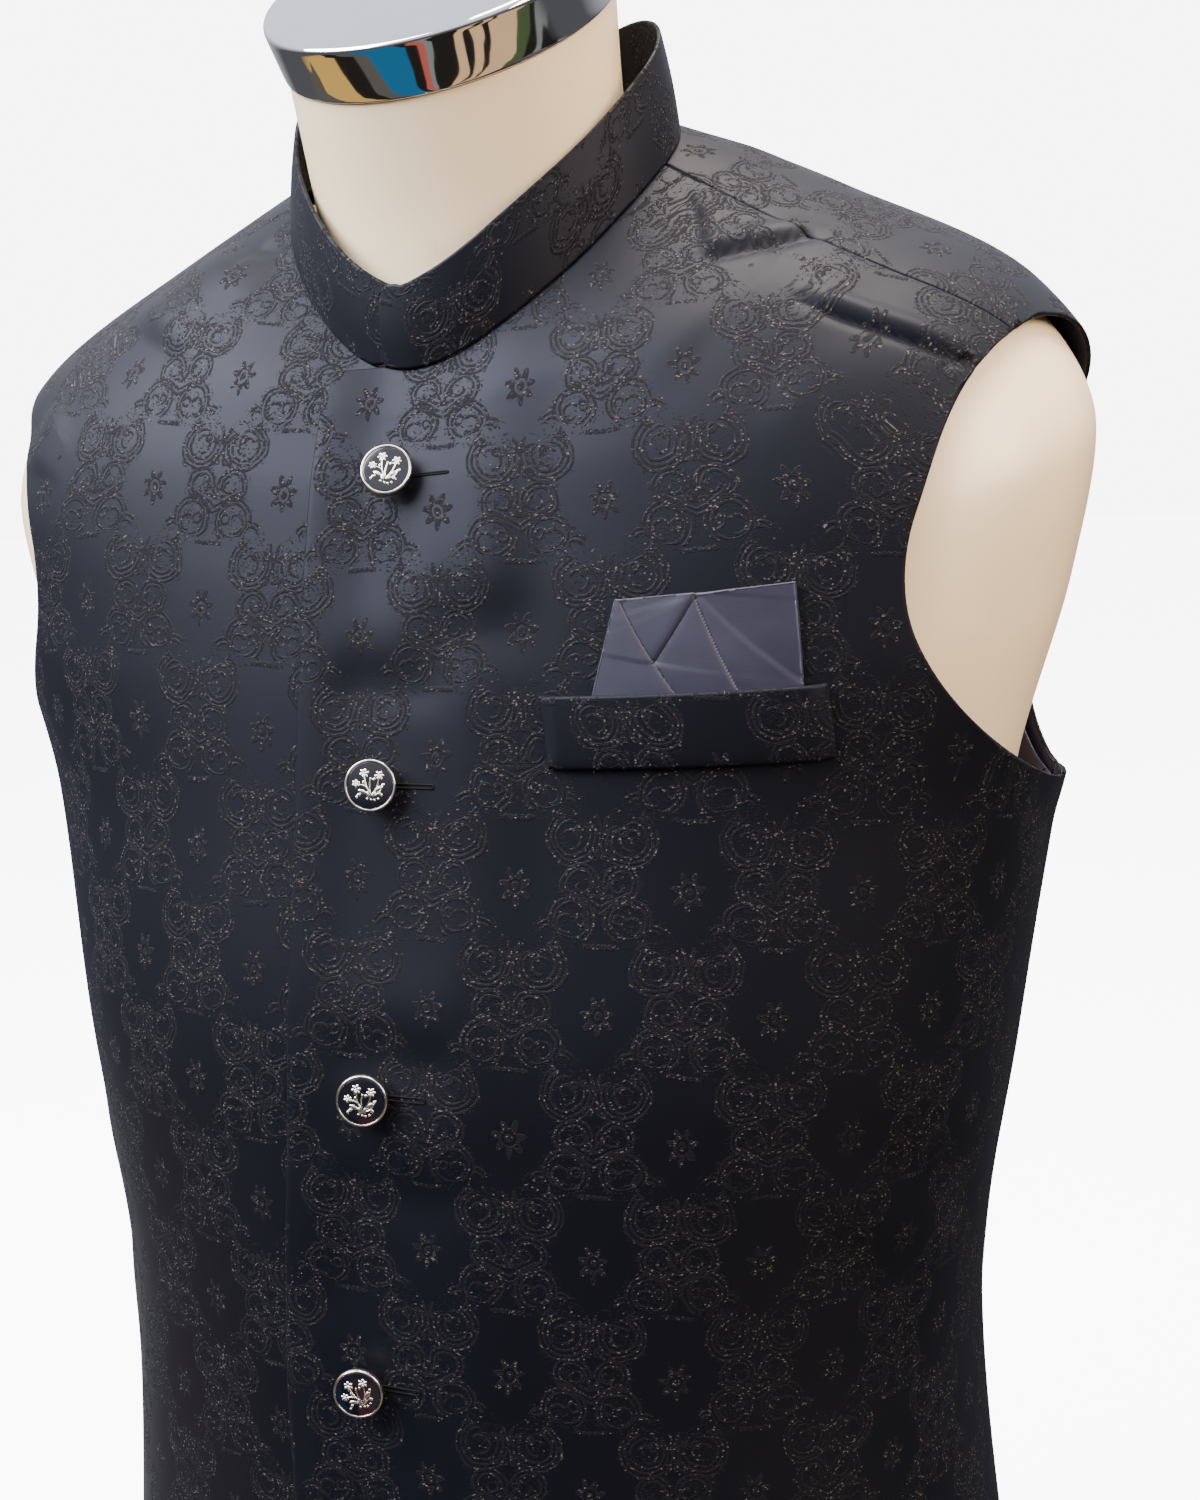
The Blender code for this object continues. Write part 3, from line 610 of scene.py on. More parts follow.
def jacquard(name):
    """Ground and figure mixed by the figure; its specks are the cells of a Voronoi pattern."""
    material, tree, output = new_material(name)
    millimetres, lines, filling = figure(tree)
    per_mm = 1.0 / THREAD_SPECK
    specks = add(tree, "VectorMath", {
        0: millimetres, 1: (per_mm, 1.5 * per_mm, 1.0)}, operation="MULTIPLY")
    cells = add(tree, "TexVoronoi", {
        "Vector": specks, "Scale": 1.0, "Randomness": 0.9}, voronoi_dimensions="2D")
    chance = add(tree, "SeparateColor", {0: cells.outputs["Color"]})
    sparse = add(tree, "Math", {0: chance.outputs[1], 1: 1.0 - FILLED}, operation="GREATER_THAN")
    scattered = add(tree, "Math", {0: filling, 1: sparse}, operation="MULTIPLY")
    whole = add(tree, "Math", {0: chance.outputs[2], 1: WORN}, operation="GREATER_THAN")
    drawn = add(tree, "Math", {0: lines, 1: whole}, operation="MULTIPLY")
    raised = add(tree, "Math", {0: drawn, 1: scattered}, operation="MAXIMUM")

    # painted glint: a few raised specks, at random, get the lighter colour in place of a highlight
    painted_glint = add(tree, "MapRange", {
        "Value": chance.outputs[0], "From Min": 1.0 - PAINTED_GLINT_SHARE, "From Max": 1.0})
    painted_glint = add(tree, "Math", {0: painted_glint, 1: raised}, operation="MULTIPLY")
    drawn_out = add(tree, "VectorMath", {0: millimetres, 1: (0.25, 2.5, 1.0)}, operation="MULTIPLY")
    slub = add(tree, "TexNoise", {
        "Vector": drawn_out, "Scale": 1.0, "Detail": 2.0}, noise_dimensions="2D")
    cloudy = add(tree, "TexNoise", {
        "Vector": millimetres, "Scale": 0.02, "Detail": 2.0}, noise_dimensions="2D")
    shade = add(tree, "MapRange", {"Value": cloudy, "To Min": 0.82, "To Max": 1.18})
    ground = add(tree, "MixRGB", {
        "Fac": slub, "Color1": linear(GROUND), "Color2": linear(GROUND_SLUB)})
    ground = add(tree, "VectorMath", {0: ground, "Scale": shade}, operation="SCALE")
    # the figure's colour, lightened on those specks by the painted glint
    thread = add(tree, "MixRGB", {"Fac": painted_glint, "Color1": linear(FIGURE), "Color2": linear(PAINTED_GLINT)})
    colour = add(tree, "MixRGB", {"Fac": raised, "Color1": ground, "Color2": thread})
    rough = add(tree, "MapRange", {"Value": raised, "To Min": 0.50, "To Max": 0.80})
    height = add(tree, "Math", {0: cells.outputs["Distance"], 1: -0.6, 2: 1.0}, operation="MULTIPLY_ADD")
    height = add(tree, "Math", {0: height, 1: raised}, operation="MULTIPLY")
    height = add(tree, "Math", {0: slub, 1: 0.12, 2: height}, operation="MULTIPLY_ADD")
    bump = add(tree, "Bump", {"Height": height, "Strength": 0.55, "Distance": 0.00035})
    shader = add(tree, "BsdfPrincipled", {
        "Base Color": colour, "Roughness": rough, "Normal": bump,
        "Specular IOR Level": 0.17, "Specular Tint": linear("#dbe0f4"),
        "Sheen Weight": 0.03, "Sheen Roughness": 0.45, "Sheen Tint": linear("#8f9ac4"),
    })
    tree.links.new(shader.outputs[0], output.inputs["Surface"])
    return material


jacquard_navy = jacquard("jacquard_satin_weave_navy")
print("jacquard nodes:", len(jacquard_navy.node_tree.nodes))

# %% [markdown]
# Lining and pocket square are polyester satin: one smooth face of long floats, so the highlight is
# wide and bright, and the colour is a clearer navy. Only faint weft lines and soft clouds show.

# %% Satin
def satin(name, dark, light, roughness):
    """Two close colours mixed by weft lines and clouds, under a soft sheen."""
    material, tree, output = new_material(name)
    flat = add(tree, "UVMap", uv_map="cloth")
    weft = add(tree, "Mapping", {"Vector": flat, "Scale": (300.0, 3500.0, 1.0)})
    weft = add(tree, "TexNoise", {"Vector": weft, "Scale": 1.0, "Detail": 2.0}, noise_dimensions="2D")
    cloud = add(tree, "TexNoise", {"Vector": flat, "Scale": 60.0, "Detail": 2.0}, noise_dimensions="2D")
    both = add(tree, "Math", {0: weft, 1: cloud}, operation="ADD")
    both = add(tree, "MapRange", {"Value": both, "From Min": 0.6, "From Max": 1.4})
    colour = add(tree, "MixRGB", {"Fac": both, "Color1": linear(dark), "Color2": linear(light)})
    bump = add(tree, "Bump", {"Height": weft, "Strength": 0.25, "Distance": 0.0001})
    rough = add(tree, "MapRange", {
        "Value": cloud, "To Min": roughness - 0.05, "To Max": roughness + 0.05})
    shader = add(tree, "BsdfPrincipled", {
        "Base Color": colour, "Roughness": rough, "Normal": bump,
        "Sheen Weight": 0.2, "Sheen Roughness": 0.35, "Sheen Tint": linear("#b9bbe6"),
    })
    tree.links.new(shader.outputs[0], output.inputs["Surface"])
    return material


lining_satin = satin("polyester_satin_lining_navy", "#1c1c30", "#28283e", 0.42)
square_satin = satin("polyester_satin_pocket_square_navy", "#161526", "#1e1d2f", 0.46)
print("satins:", lining_satin.name, square_satin.name)

# %% [markdown]
# ## Creases
# The cloth hangs close to the form, so it has only a few folds, and they are the ones a fitter
# looks for: slack under the shoulder seam, a drag towards the armhole, small pulls at the
# buttons, soft hollows at the waist. Each is a short curve on the surface. Across it the cloth
# dips like a bell curve, and it rises a little on one side where the slack has gone.

# %% The creases, and how far they move the cloth
# columns: level and angle of the first end, of the last end, sag of its middle in levels,
# half width, depth (negative for a ridge) and the rise on the left of its run, in mm
CREASES = (
    (832.0, -22.0, 802.0, -3.0, -4.0, 2.9, 2.3, 1.9),
    (857.0, -9.0, 832.0, -20.0, 1.0, 2.6, 1.3, 0.9),
    (797.0, -17.0, 724.0, -13.0, 2.0, 2.5, 2.3, 1.7),
    (800.0, -28.0, 742.0, -25.0, 0.0, 18.0, 1.0, 0.8),
    (640.0, -88.0, 652.0, -60.0, 3.0, 12.0, 1.4, 1.2),
    (613.0, -103.0, 616.0, -74.0, -1.5, 9.0, 1.2, 1.0),
    (471.0, -99.0, 470.0, -74.0, -2.0, 9.0, 1.2, 1.0),
    (424.0, -99.0, 428.0, -72.0, 1.0, 10.0, 1.3, 1.0),
    (378.0, -104.0, 408.0, -86.0, 0.0, 12.0, 0.8, 0.6),
    (866.0, -158.0, 852.0, -166.0, 0.0, 5.0, 1.4, 1.0),
    (856.0, -165.0, 796.0, -160.0, 0.0, 26.0, -5.0, 0.0),
    (760.0, -166.0, 706.0, -163.0, 1.0, 9.0, 1.3, 1.1),
    (446.0, -34.0, 392.0, -4.0, 3.0, 12.0, 1.5, 1.1),
    (414.0, -40.0, 372.0, -16.0, 2.0, 13.0, 1.2, 0.9),
    (352.0, -30.0, 330.0, 6.0, -3.0, 14.0, 1.3, 0.9),
    (440.0, -150.0, 396.0, -176.0, 3.0, 12.0, 1.5, 1.1),
    (380.0, -146.0, 352.0, -170.0, -2.0, 14.0, 1.3, 0.9),
    (560.0, -12.0, 520.0, 4.0, 2.0, 12.0, 1.4, 1.2),
    (556.0, -166.0, 516.0, -184.0, 2.0, 12.0, 1.5, 1.2),
    (452.0, 38.0, 402.0, 12.0, 3.0, 11.0, 1.8, 1.4),
    (444.0, 140.0, 398.0, 168.0, 3.0, 11.0, 1.8, 1.4),
    (372.0, 58.0, 360.0, 116.0, -5.0, 14.0, 1.8, 1.3),
    (404.0, 64.0, 398.0, 112.0, -4.0, 12.0, 1.4, 1.0),
    (806.0, 22.0, 776.0, 62.0, -4.0, 8.0, 1.5, 1.3),
    (802.0, 158.0, 778.0, 124.0, -4.0, 9.0, 1.5, 1.3),
    (700.0, 34.0, 640.0, 52.0, 0.0, 14.0, 1.4, 1.2),
    (696.0, 146.0, 640.0, 130.0, 0.0, 14.0, 1.4, 1.2),
)
CREASE_POINTS = 12
CREASE_FADE = 0.3        # share of a crease's length over which each end fades


def crease_curve(row):
    """Points along a crease: straight in level and angle, less a sag of 4 t (1 - t) in level."""
    t = np.linspace(0.0, 1.0, CREASE_POINTS + 1)
    level = row[0] + (row[2] - row[0]) * t - row[4] * 4.0 * t * (1.0 - t)
    return surface(JACKET, level, row[1] + (row[3] - row[1]) * t)


def crease_offset(points, normal):
    """How far each point moves out. With s the distance from a crease and w its half width, it is
    -depth exp(-(s/w)^2) + rise exp(-((s - 2w)/1.6w)^2), faded towards both ends."""
    flat_points = points.reshape(-1, 3)
    flat_normal = normal.reshape(-1, 3)
    total = np.zeros(len(flat_points))
    for row in CREASES:
        width, depth, rise = row[5:]
        curve = crease_curve(row)
        start = curve[:-1]
        run = np.diff(curve, axis=0)
        middle = curve.mean(axis=0)
        reach = np.linalg.norm(curve - middle, axis=1).max() + 6.0 * width
        near = np.flatnonzero(np.linalg.norm(flat_points - middle, axis=1) < reach)
        away = flat_points[near][:, None] - start
        t = np.clip((away * run).sum(-1) / (run * run).sum(-1), 0.0, 1.0)
        gap = away - t[..., None] * run
        distance = np.linalg.norm(gap, axis=-1)
        best = distance.argmin(axis=1)
        pick = (np.arange(len(near)), best)
        side = np.sign((np.cross(run[best], gap[pick]) * flat_normal[near]).sum(-1))
        s = side * distance[pick] / width
        along = (best + t[pick]) / CREASE_POINTS
        fade = smooth(along / CREASE_FADE) * smooth((1.0 - along) / CREASE_FADE)
        total[near] += fade * (rise * np.exp(-((s - 2.0) / 1.6) ** 2) - depth * np.exp(-s * s))
    return total.reshape(points.shape[:-1])


def creased(points):
    """The grid, moved along its normals by the creases."""
    normal = grid_normals(points)
    return points + normal * crease_offset(points, normal)[..., None]


print("creases:", len(CREASES))

# %% [markdown]
# ## The three panels
# The jacket's body has two fronts and a back. The armhole is cut out of both as half an oval from
# the side seam to the shoulder seam. The left front laps over the right by 30 mm past the centre
# front, rides a little out where it crosses, and hangs a few millimetres to one side below the
# third button. A panel's grid runs from hem to neckline. Beside the armhole its rows fan out: in
# the middle of the panel they are level, and at the edge they follow the armhole's curve.

# %% Sizes of the cut, mm and degrees
CLOTH = 1.5
SEAM_GAP = 0.05          # sewn edges all but touch
LAP = 30.0               # each front runs this far past the centre front
LAP_LIFT = 2.4           # the left front lies this far out, over the right one
LAP_FADE = 62.0          # x at which it is back on the surface
LAP_SWING = 7.0          # the lap hangs this far to the wearer's right
LAP_SWING_LEVELS = (470.0, 340.0)   # where that starts and where it is whole
LAP_CORNER_LEVEL = 837.0  # the fronts' top edges fall to this level at their free corners
LAP_OPEN = 2.8           # the free edge stands open by this much more, past the buttons
COLLAR_END = 9.0         # each end of the collar runs this far past the centre front
SIDE_SEAM = 8.0          # angle, a little behind the side
SEAM_AT_SHOULDER_END = -7.0   # angles of the shoulder seam's two ends
SEAM_AT_NECK = -5.3
# degrees of the sin t and sin 2t terms that cut the armhole out of each panel
ARMHOLE_BITE = {"front": (-26.0, -2.5), "back": (17.0, 2.0)}
ARMHOLE_MIDDLE = 0.5 * (ARMPIT + SHOULDER_END)
ARMHOLE_HALF = 0.5 * (SHOULDER_END - ARMPIT)

ROWS = (120, 60, 48)     # hem to armpit, along the armhole, shoulder to neckline
FRONT_COLUMNS = 168
LAP_COLUMNS = 24
BACK_COLUMNS = 204
print("armhole height, mm:", 2 * ARMHOLE_HALF)


# %% Edges and rows of a panel
def side_edge(level, panel):
    """Angle of a panel's edge: side seam, then the seam plus sin t and sin 2t terms round the
    armhole, where t runs from 0 at its bottom to pi at its top, then shoulder seam."""
    turn = np.arccos(np.clip((ARMHOLE_MIDDLE - level) / ARMHOLE_HALF, -1.0, 1.0))
    first, second = ARMHOLE_BITE[panel]
    seam = SIDE_SEAM + (SEAM_AT_SHOULDER_END - SIDE_SEAM) * turn / math.pi
    armhole = seam + first * np.sin(turn) + second * np.sin(2.0 * turn)
    climb = np.clip((level - SHOULDER_END) / (NECKLINE - SHOULDER_END), 0.0, 1.0)
    shoulder = SEAM_AT_SHOULDER_END + (SEAM_AT_NECK - SEAM_AT_SHOULDER_END) * climb
    edge = np.where(level < SHOULDER_END, armhole, shoulder)
    radius = np.hypot(*np.moveaxis(surface(JACKET, level, edge), -1, 0)[:2])
    clear = np.degrees(0.5 * SEAM_GAP / radius)
    return edge - clear if panel == "front" else edge + clear


def row_levels():
    """Levels of the rows in the middle of a panel and at its side edge."""
    low = np.linspace(HEM, ARMPIT, ROWS[0] + 1)
    turn = np.linspace(0.0, math.pi, ROWS[1] + 1)[1:]
    beside = np.linspace(ARMPIT, SHOULDER_END, ROWS[1] + 1)[1:]
    top = np.linspace(SHOULDER_END, NECKLINE, ROWS[2] + 1)[1:]
    at_edge = np.concatenate((low, ARMHOLE_MIDDLE - ARMHOLE_HALF * np.cos(turn), top))
    return np.concatenate((low, beside, top))[:, None], at_edge[:, None]


def lap_lift(x):
    """How far the left front rides out over the right one: the lift, fading to 0 past the lap."""
    return LAP_LIFT * smooth((LAP_FADE - x) / (LAP_FADE - LAP))


def swing(level):
    """How far the lap hangs to one side at this level, in x."""
    high, low = LAP_SWING_LEVELS
    return -LAP_SWING * smooth((high - level) / (high - low))


def front_grid(hang):
    """Levels and angles over a front, from its free edge to its side. Across the lap the columns
    have even widths; the rest is shared out evenly in angle."""
    middle, at_edge = row_levels()
    across = np.linspace(0.0, 1.0, FRONT_COLUMNS + 1)[None, :]
    lap_share = LAP_COLUMNS / FRONT_COLUMNS
    share = np.clip((across - lap_share) / (1.0 - lap_share), 0.0, 1.0)
    level = middle + (at_edge - middle) * share**2
    x = -LAP + 2.0 * LAP * np.clip(across / lap_share, 0.0, 1.0)
    past = np.clip((-COLLAR_END - x) / (LAP - COLLAR_END), 0.0, 1.0)
    top = NECKLINE + (LAP_CORNER_LEVEL - NECKLINE) * past
    squeeze = (top - SHOULDER_END) / (NECKLINE - SHOULDER_END)
    level = np.where(level > SHOULDER_END, SHOULDER_END + (level - SHOULDER_END) * squeeze, level)
    lap_angle = angle_at(JACKET, level, x + hang * swing(level))
    return level, lap_angle + (side_edge(at_edge, "front") - lap_angle) * share


def on_left_front(level, angle):
    """Points of the left front: the surface, moved along its normals by the lap's lift."""
    base = surface(JACKET, level, angle)
    return base + normals(level, angle) * lap_lift(base[..., 0])[..., None]


def flipped(points):
    """The same grid on the wearer's other side, in an order that keeps the outside outside."""
    return (points * np.array((-1.0, 1.0, 1.0)))[:, ::-1]


print("rows:", sum(ROWS) + 1, "columns of a front:", FRONT_COLUMNS + 1)

# %% [markdown]
# The flat places are moved so that the figures fall where they should on each panel. On
# the fronts a line of figures runs down beside the buttons.

# %% Fronts and back
# how far the middle of a figure line is from the grain line, and a bud from its foot, in mm
FIGURE_START = {"front_left": (-13.2, 43.5), "front_right": (-11.0, 49.5), "back": (0.0, 20.0)}
LAP_OPEN_FROM = -5.0     # x at which the free edge starts to stand open


def panel(name, points, grain_column):
    """The grid laid flat, creased and made a wall."""
    flat, area = laid_flat(points, grain_column)
    if name == "front_left":
        past = (LAP_OPEN_FROM - points[..., 0]) / (LAP + LAP_OPEN_FROM)
        points = points + grid_normals(points) * LAP_OPEN * smooth(past)[..., None]
    piece = closed_wall(name + "_cloth", creased(points), CLOTH,
                        flat - np.array(FIGURE_START[name]), [jacquard_navy, lining_satin])
    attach(piece, "root")
    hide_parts(name)


left_points = on_left_front(*front_grid(hang=1.0))
panel("front_left", left_points, LAP_COLUMNS // 2)
right_points = flipped(surface(JACKET, *front_grid(hang=0.0)))
panel("front_right", right_points, FRONT_COLUMNS - LAP_COLUMNS // 2)

middle_levels, edge_levels = row_levels()
across = np.linspace(0.0, 1.0, BACK_COLUMNS + 1)[None, :]
back_level = middle_levels + (edge_levels - middle_levels) * np.abs(2.0 * across - 1.0) ** 3
back_edge = side_edge(edge_levels, "back")
back_angle = back_edge + (180.0 - 2.0 * back_edge) * across
panel("back", surface(JACKET, back_level, back_angle), BACK_COLUMNS // 2)

# %% [markdown]
# ## Collar
# The stand collar is one stiffened band, 36 mm high at the back and 28 mm at the front, sewn to
# the neckline and rounded at its two front corners. Its left end lies over its right end. The
# band stands on the panels' outer face, leans towards the neck at the sides and the back, is
# upright at the front, and swells very slightly between its seam and its rolled top edge.

# %% Collar
COLLAR_HEIGHT = 36.0
COLLAR_DIP = (8.0, 48.0)   # how much lower the band is at the front, and from which x on
COLLAR_STEP = (2.0, 26.0, 8.0)  # one end starts higher: by how much, how far along, over what length
COLLAR_SEAT = -0.5       # its lower edge is sewn in, so it starts inside the panels' turned edge
COLLAR_WALL = 1.6
COLLAR_CORNER = 9.0      # radius of its rounded front corners
COLLAR_LEAN = (4.6, 8.1, 4.3)  # degrees: all round, more at the back, more at the sides
COLLAR_SWELL = 0.7       # how far it bulges halfway up
COLLAR_ROWS = 24
COLLAR_COLUMNS = 360
COLLAR_END_SHARE = 0.035   # share of the columns that draw each rounded end


def collar_points():
    """Rows up the band: seat + height (cos lean * up - sin lean * outward). The height falls at
    the ends along a quarter circle, which rounds the corners."""
    end = float(angle_at(JACKET, np.array(NECKLINE), -COLLAR_END))
    t = np.linspace(0.0, 1.0, COLLAR_COLUMNS + 1)
    t = t - COLLAR_END_SHARE * np.sin(2.0 * math.pi * t)
    angle = end + (180.0 - 2.0 * end) * t
    base = surface(JACKET, NECKLINE, angle)
    on_left = np.where(angle < 0.0, lap_lift(base[:, 0]), 0.0)
    base = base + normals(NECKLINE, angle) * (CLOTH + COLLAR_SEAT + on_left)[:, None]
    along = np.concatenate(((0.0,), np.cumsum(np.linalg.norm(np.diff(base, axis=0), axis=1))))
    from_end = np.minimum(np.minimum(along, along[-1] - along), COLLAR_CORNER)
    fall = COLLAR_CORNER - np.sqrt(COLLAR_CORNER**2 - (COLLAR_CORNER - from_end) ** 2)
    up_share = np.linspace(0.0, 1.0, COLLAR_ROWS + 1)[:, None]
    turn = np.radians(angle)
    near_front = np.clip(1.0 - np.abs(base[:, 0]) / COLLAR_DIP[1], 0.0, 1.0) * (np.sin(turn) < 0.0)
    dip = COLLAR_DIP[0] * near_front**1.7
    amount, start, run = COLLAR_STEP
    step_up = amount * smooth((start - along[-1] + along) / run)
    base[:, 2] += step_up
    height = (COLLAR_HEIGHT - dip - fall - step_up)[None, :] * up_share
    even, first, second = COLLAR_LEAN
    lean = np.radians(even + first * np.sin(turn) + second * np.cos(turn) ** 2)
    tangent = np.gradient(base, axis=0)
    outward = unit(np.stack((tangent[:, 1], -tangent[:, 0], np.zeros(len(base))), axis=-1))
    rise = np.cos(lean)[:, None] * np.array((0.0, 0.0, 1.0)) - np.sin(lean)[:, None] * outward
    swell = COLLAR_SWELL * np.sin(math.pi * up_share)[..., None] * outward[None]
    points = base[None] + height[..., None] * rise[None] + swell
    flat = np.stack(np.broadcast_arrays(along[None, :], height), axis=-1)
    return points, flat, float(along[-1])


points, flat, collar_length = collar_points()
collar = closed_wall("collar_cloth", points, COLLAR_WALL, flat, [jacquard_navy])
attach(collar, "root")
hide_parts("collar")
print("collar band, mm:", round(collar_length), "x", COLLAR_HEIGHT)

# %% [markdown]
# ## Breast pocket
# The welt is a folded strip sewn on at its foot and its two ends, so its mouth stands open a
# little in the middle. The pocket square is a satin handkerchief pressed into a flat panel of
# overlapping points, tucked behind the welt. Both lie on the left front and take its creases.

# %% Welt
LAY_GAP = 0.4            # clear space under what lies on the front
WELT_WALL = 2.0          # cloth folded double
WELT_LEVELS = (581.0, 612.0)
WELT_ANGLES = (-63.5, -33.0)
WELT_MOUTH = 2.0         # how far its mouth stands open
WELT_SEWN_END = 6.0      # length over which each end is sewn down
WELT_GRID = (20, 110)


def laid_on_front(level, angle, lift):
    """Points on the left front's outer face, moved out by the lift, with the front's creases."""
    base = on_left_front(level, angle)
    normal = grid_normals(base)
    return base + normal * (CLOTH + lift + crease_offset(base, normal))[..., None]


def flat_of(points):
    """Flat places of a nearly flat grid: lengths along its middle row and up each column."""
    middle = points[len(points) // 2]
    along = np.concatenate(((0.0,), np.cumsum(np.linalg.norm(np.diff(middle, axis=0), axis=1))))
    rise = np.cumsum(np.linalg.norm(np.diff(points, axis=0), axis=-1), axis=0)
    rise = np.concatenate((np.zeros((1, points.shape[1])), rise))
    return np.stack(np.broadcast_arrays(along[None, :], rise), axis=-1)


up_share = np.linspace(0.0, 1.0, WELT_GRID[0] + 1)[:, None]
along_share = np.linspace(0.0, 1.0, WELT_GRID[1] + 1)[None, :]
level = WELT_LEVELS[0] + (WELT_LEVELS[1] - WELT_LEVELS[0]) * up_share
angle = WELT_ANGLES[0] + (WELT_ANGLES[1] - WELT_ANGLES[0]) * along_share
length = flat_of(on_left_front(*np.broadcast_arrays(level, angle)))[0, -1, 0]
sewn = smooth(np.minimum(along_share, 1.0 - along_share) * length / WELT_SEWN_END)
points = laid_on_front(*np.broadcast_arrays(level, angle), LAY_GAP + WELT_MOUTH * sewn * up_share**0.5)
flat = flat_of(points)
welt = closed_wall("pocket_welt_cloth", points, WELT_WALL, flat, [jacquard_navy])
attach(welt, "root")
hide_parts("pocket_welt")
print("welt, mm:", flat[-1, -1].round(1))

# %% Pocket square
SQUARE_WALL = 1.2
SQUARE_CORNERS = {       # (level, angle)
    "foot_front": (603.0, -57.6),
    "foot_side": (603.0, -35.2),
    "top_side": (657.0, -33.9),
    "top_front": (656.0, -52.1),
}
SQUARE_GRID = (110, 130)
# Pressed folds, each a step in height across a line. columns: place along and up of its two
# ends as shares of the panel, step in mm on its left, width of the step as a share
SQUARE_FOLDS = (
    (0.03, 0.97, 0.52, -0.02, -0.55, 0.012),
    (0.30, 0.42, 0.50, 1.02, 0.60, 0.012),
    (0.48, 0.97, 0.76, 0.02, -0.55, 0.012),
    (0.50, 0.98, 0.99, 0.18, -0.35, 0.045),
)


def fold_height(along, up):
    """Sum of the folds: step * smooth(signed distance / width), dying away from the line, less a
    narrow valley along it, between the line's ends."""
    height = np.zeros(np.broadcast_shapes(along.shape, up.shape))
    for x0, y0, x1, y1, step, width in SQUARE_FOLDS:
        run = np.array((x1 - x0, y1 - y0))
        size = np.linalg.norm(run)
        run /= size
        s = (up - y0) * run[0] - (along - x0) * run[1]
        t = ((along - x0) * run[0] + (up - y0) * run[1]) / size
        ends = smooth(t / 0.08 + 0.5) * smooth((1.0 - t) / 0.08 + 0.5)
        valley = np.exp(-((s / (2.5 * width)) ** 2))
        rise = step * (smooth(s / width + 0.5) - 0.5) * np.exp(-np.abs(s) / 0.30)
        height += ends * (rise - 0.16 * valley)
    return height


up_share = np.linspace(0.0, 1.0, SQUARE_GRID[0] + 1)[:, None, None]
along_share = np.linspace(0.0, 1.0, SQUARE_GRID[1] + 1)[None, :, None]
corner = {name: np.array(value) for name, value in SQUARE_CORNERS.items()}
foot = corner["foot_front"] * (1 - along_share) + corner["foot_side"] * along_share
top = corner["top_front"] * (1 - along_share) + corner["top_side"] * along_share
level, angle = np.moveaxis(foot * (1 - up_share) + top * up_share, -1, 0)
folds = fold_height(along_share[..., 0], up_share[..., 0])
points = laid_on_front(level, angle, LAY_GAP + folds - folds.min())
flat = flat_of(points)
square = closed_wall("pocket_square_satin", points, SQUARE_WALL, flat, [square_satin])
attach(square, "root")
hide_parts("pocket_square")

# %% [markdown]
# ## Armhole linings
# Through each armhole a strip of the satin lining shows, between the cloth's edge and the form.
# It is the armhole's lower curve again, made larger about the armhole's middle and set inside.

# %% Armhole linings
LINING_WALL = 1.0
LINING_SCALE = (1.03, 1.36)   # of the armhole, at the strip's two long edges
LINING_TURN = (16.0, 110.0)   # degrees that it runs round the armhole, both ways from the bottom
LINING_SETBACK = 2.0     # how far it lies inside the cloth's inner face
LINING_GRID = (24, 150)


def lining_strip():
    """Levels and angles of the armhole's edge, times a scale that grows across the strip."""
    turn = np.radians(np.linspace(-LINING_TURN[0], LINING_TURN[1], LINING_GRID[1] + 1))
    level = ARMHOLE_MIDDLE - ARMHOLE_HALF * np.cos(turn)
    back_share = smooth(turn / np.radians(20.0) + 0.5)
    edge = side_edge(level, "front") * (1 - back_share) + side_edge(level, "back") * back_share
    scale = np.linspace(*LINING_SCALE, LINING_GRID[0] + 1)[:, None]
    levels = ARMHOLE_MIDDLE + (level - ARMHOLE_MIDDLE)[None, :] * scale
    inset = -LINING_SETBACK - LINING_WALL
    return surface(JACKET, levels, edge[None, :] * scale, inset)[::-1]


strip = lining_strip()
for side_name, points in (("left", strip), ("right", flipped(strip))):
    flat = flat_of(points)
    lining = closed_wall(f"armhole_lining_{side_name}_satin", points, LINING_WALL, flat, [lining_satin])
    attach(lining, "root")
    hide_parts(f"armhole_lining_{side_name}")

# %% [markdown]
# ## Form
# The form is a fibreglass shell sprayed with cream gelcoat, moulded in a front and a back half.
# The two halves meet in a fine line down each side of the shoulder stubs. It is one closed
# surface: rings from the table, a flat foot and a flat top under the cap.

# %% Gelcoat
def gelcoat(name):
    """Cream with soft clouds and a few duller scuffs, semi-gloss under a thin clear coat."""
    material, tree, output = new_material(name)
    place = add(tree, "TexCoord").outputs["Object"]
    cloud = add(tree, "TexNoise", {"Vector": place, "Scale": 9.0, "Detail": 3.0})
    fine = add(tree, "TexNoise", {"Vector": place, "Scale": 600.0, "Detail": 2.0})
    scuff = add(tree, "TexNoise", {"Vector": place, "Scale": 42.0, "Detail": 5.0, "Roughness": 0.7})
    scuff = add(tree, "MapRange", {"Value": scuff, "From Min": 0.62, "From Max": 0.78, "To Max": 0.35})
    colour = add(tree, "MixRGB", {
        "Fac": cloud, "Color1": linear("#fde0b0"), "Color2": linear("#ffecc6")})
    colour = add(tree, "MixRGB", {"Fac": scuff, "Color1": colour, "Color2": linear("#cdb79f")})
    bump = add(tree, "Bump", {"Height": fine, "Strength": 0.08, "Distance": 0.0002})
    rough = add(tree, "MapRange", {"Value": cloud, "To Min": 0.30, "To Max": 0.42})
    shader = add(tree, "BsdfPrincipled", {
        "Base Color": colour, "Roughness": rough, "Normal": bump,
        "Subsurface Weight": 0.05, "Subsurface Radius": (0.004, 0.002, 0.001),
        "Coat Weight": 0.25, "Coat Roughness": 0.2,
    })
    tree.links.new(shader.outputs[0], output.inputs["Surface"])
    return material


form_gelcoat = gelcoat("gelcoat_on_fibreglass_cream")
print("gelcoat ready")


# %% Torso
FORM_AROUND = 288
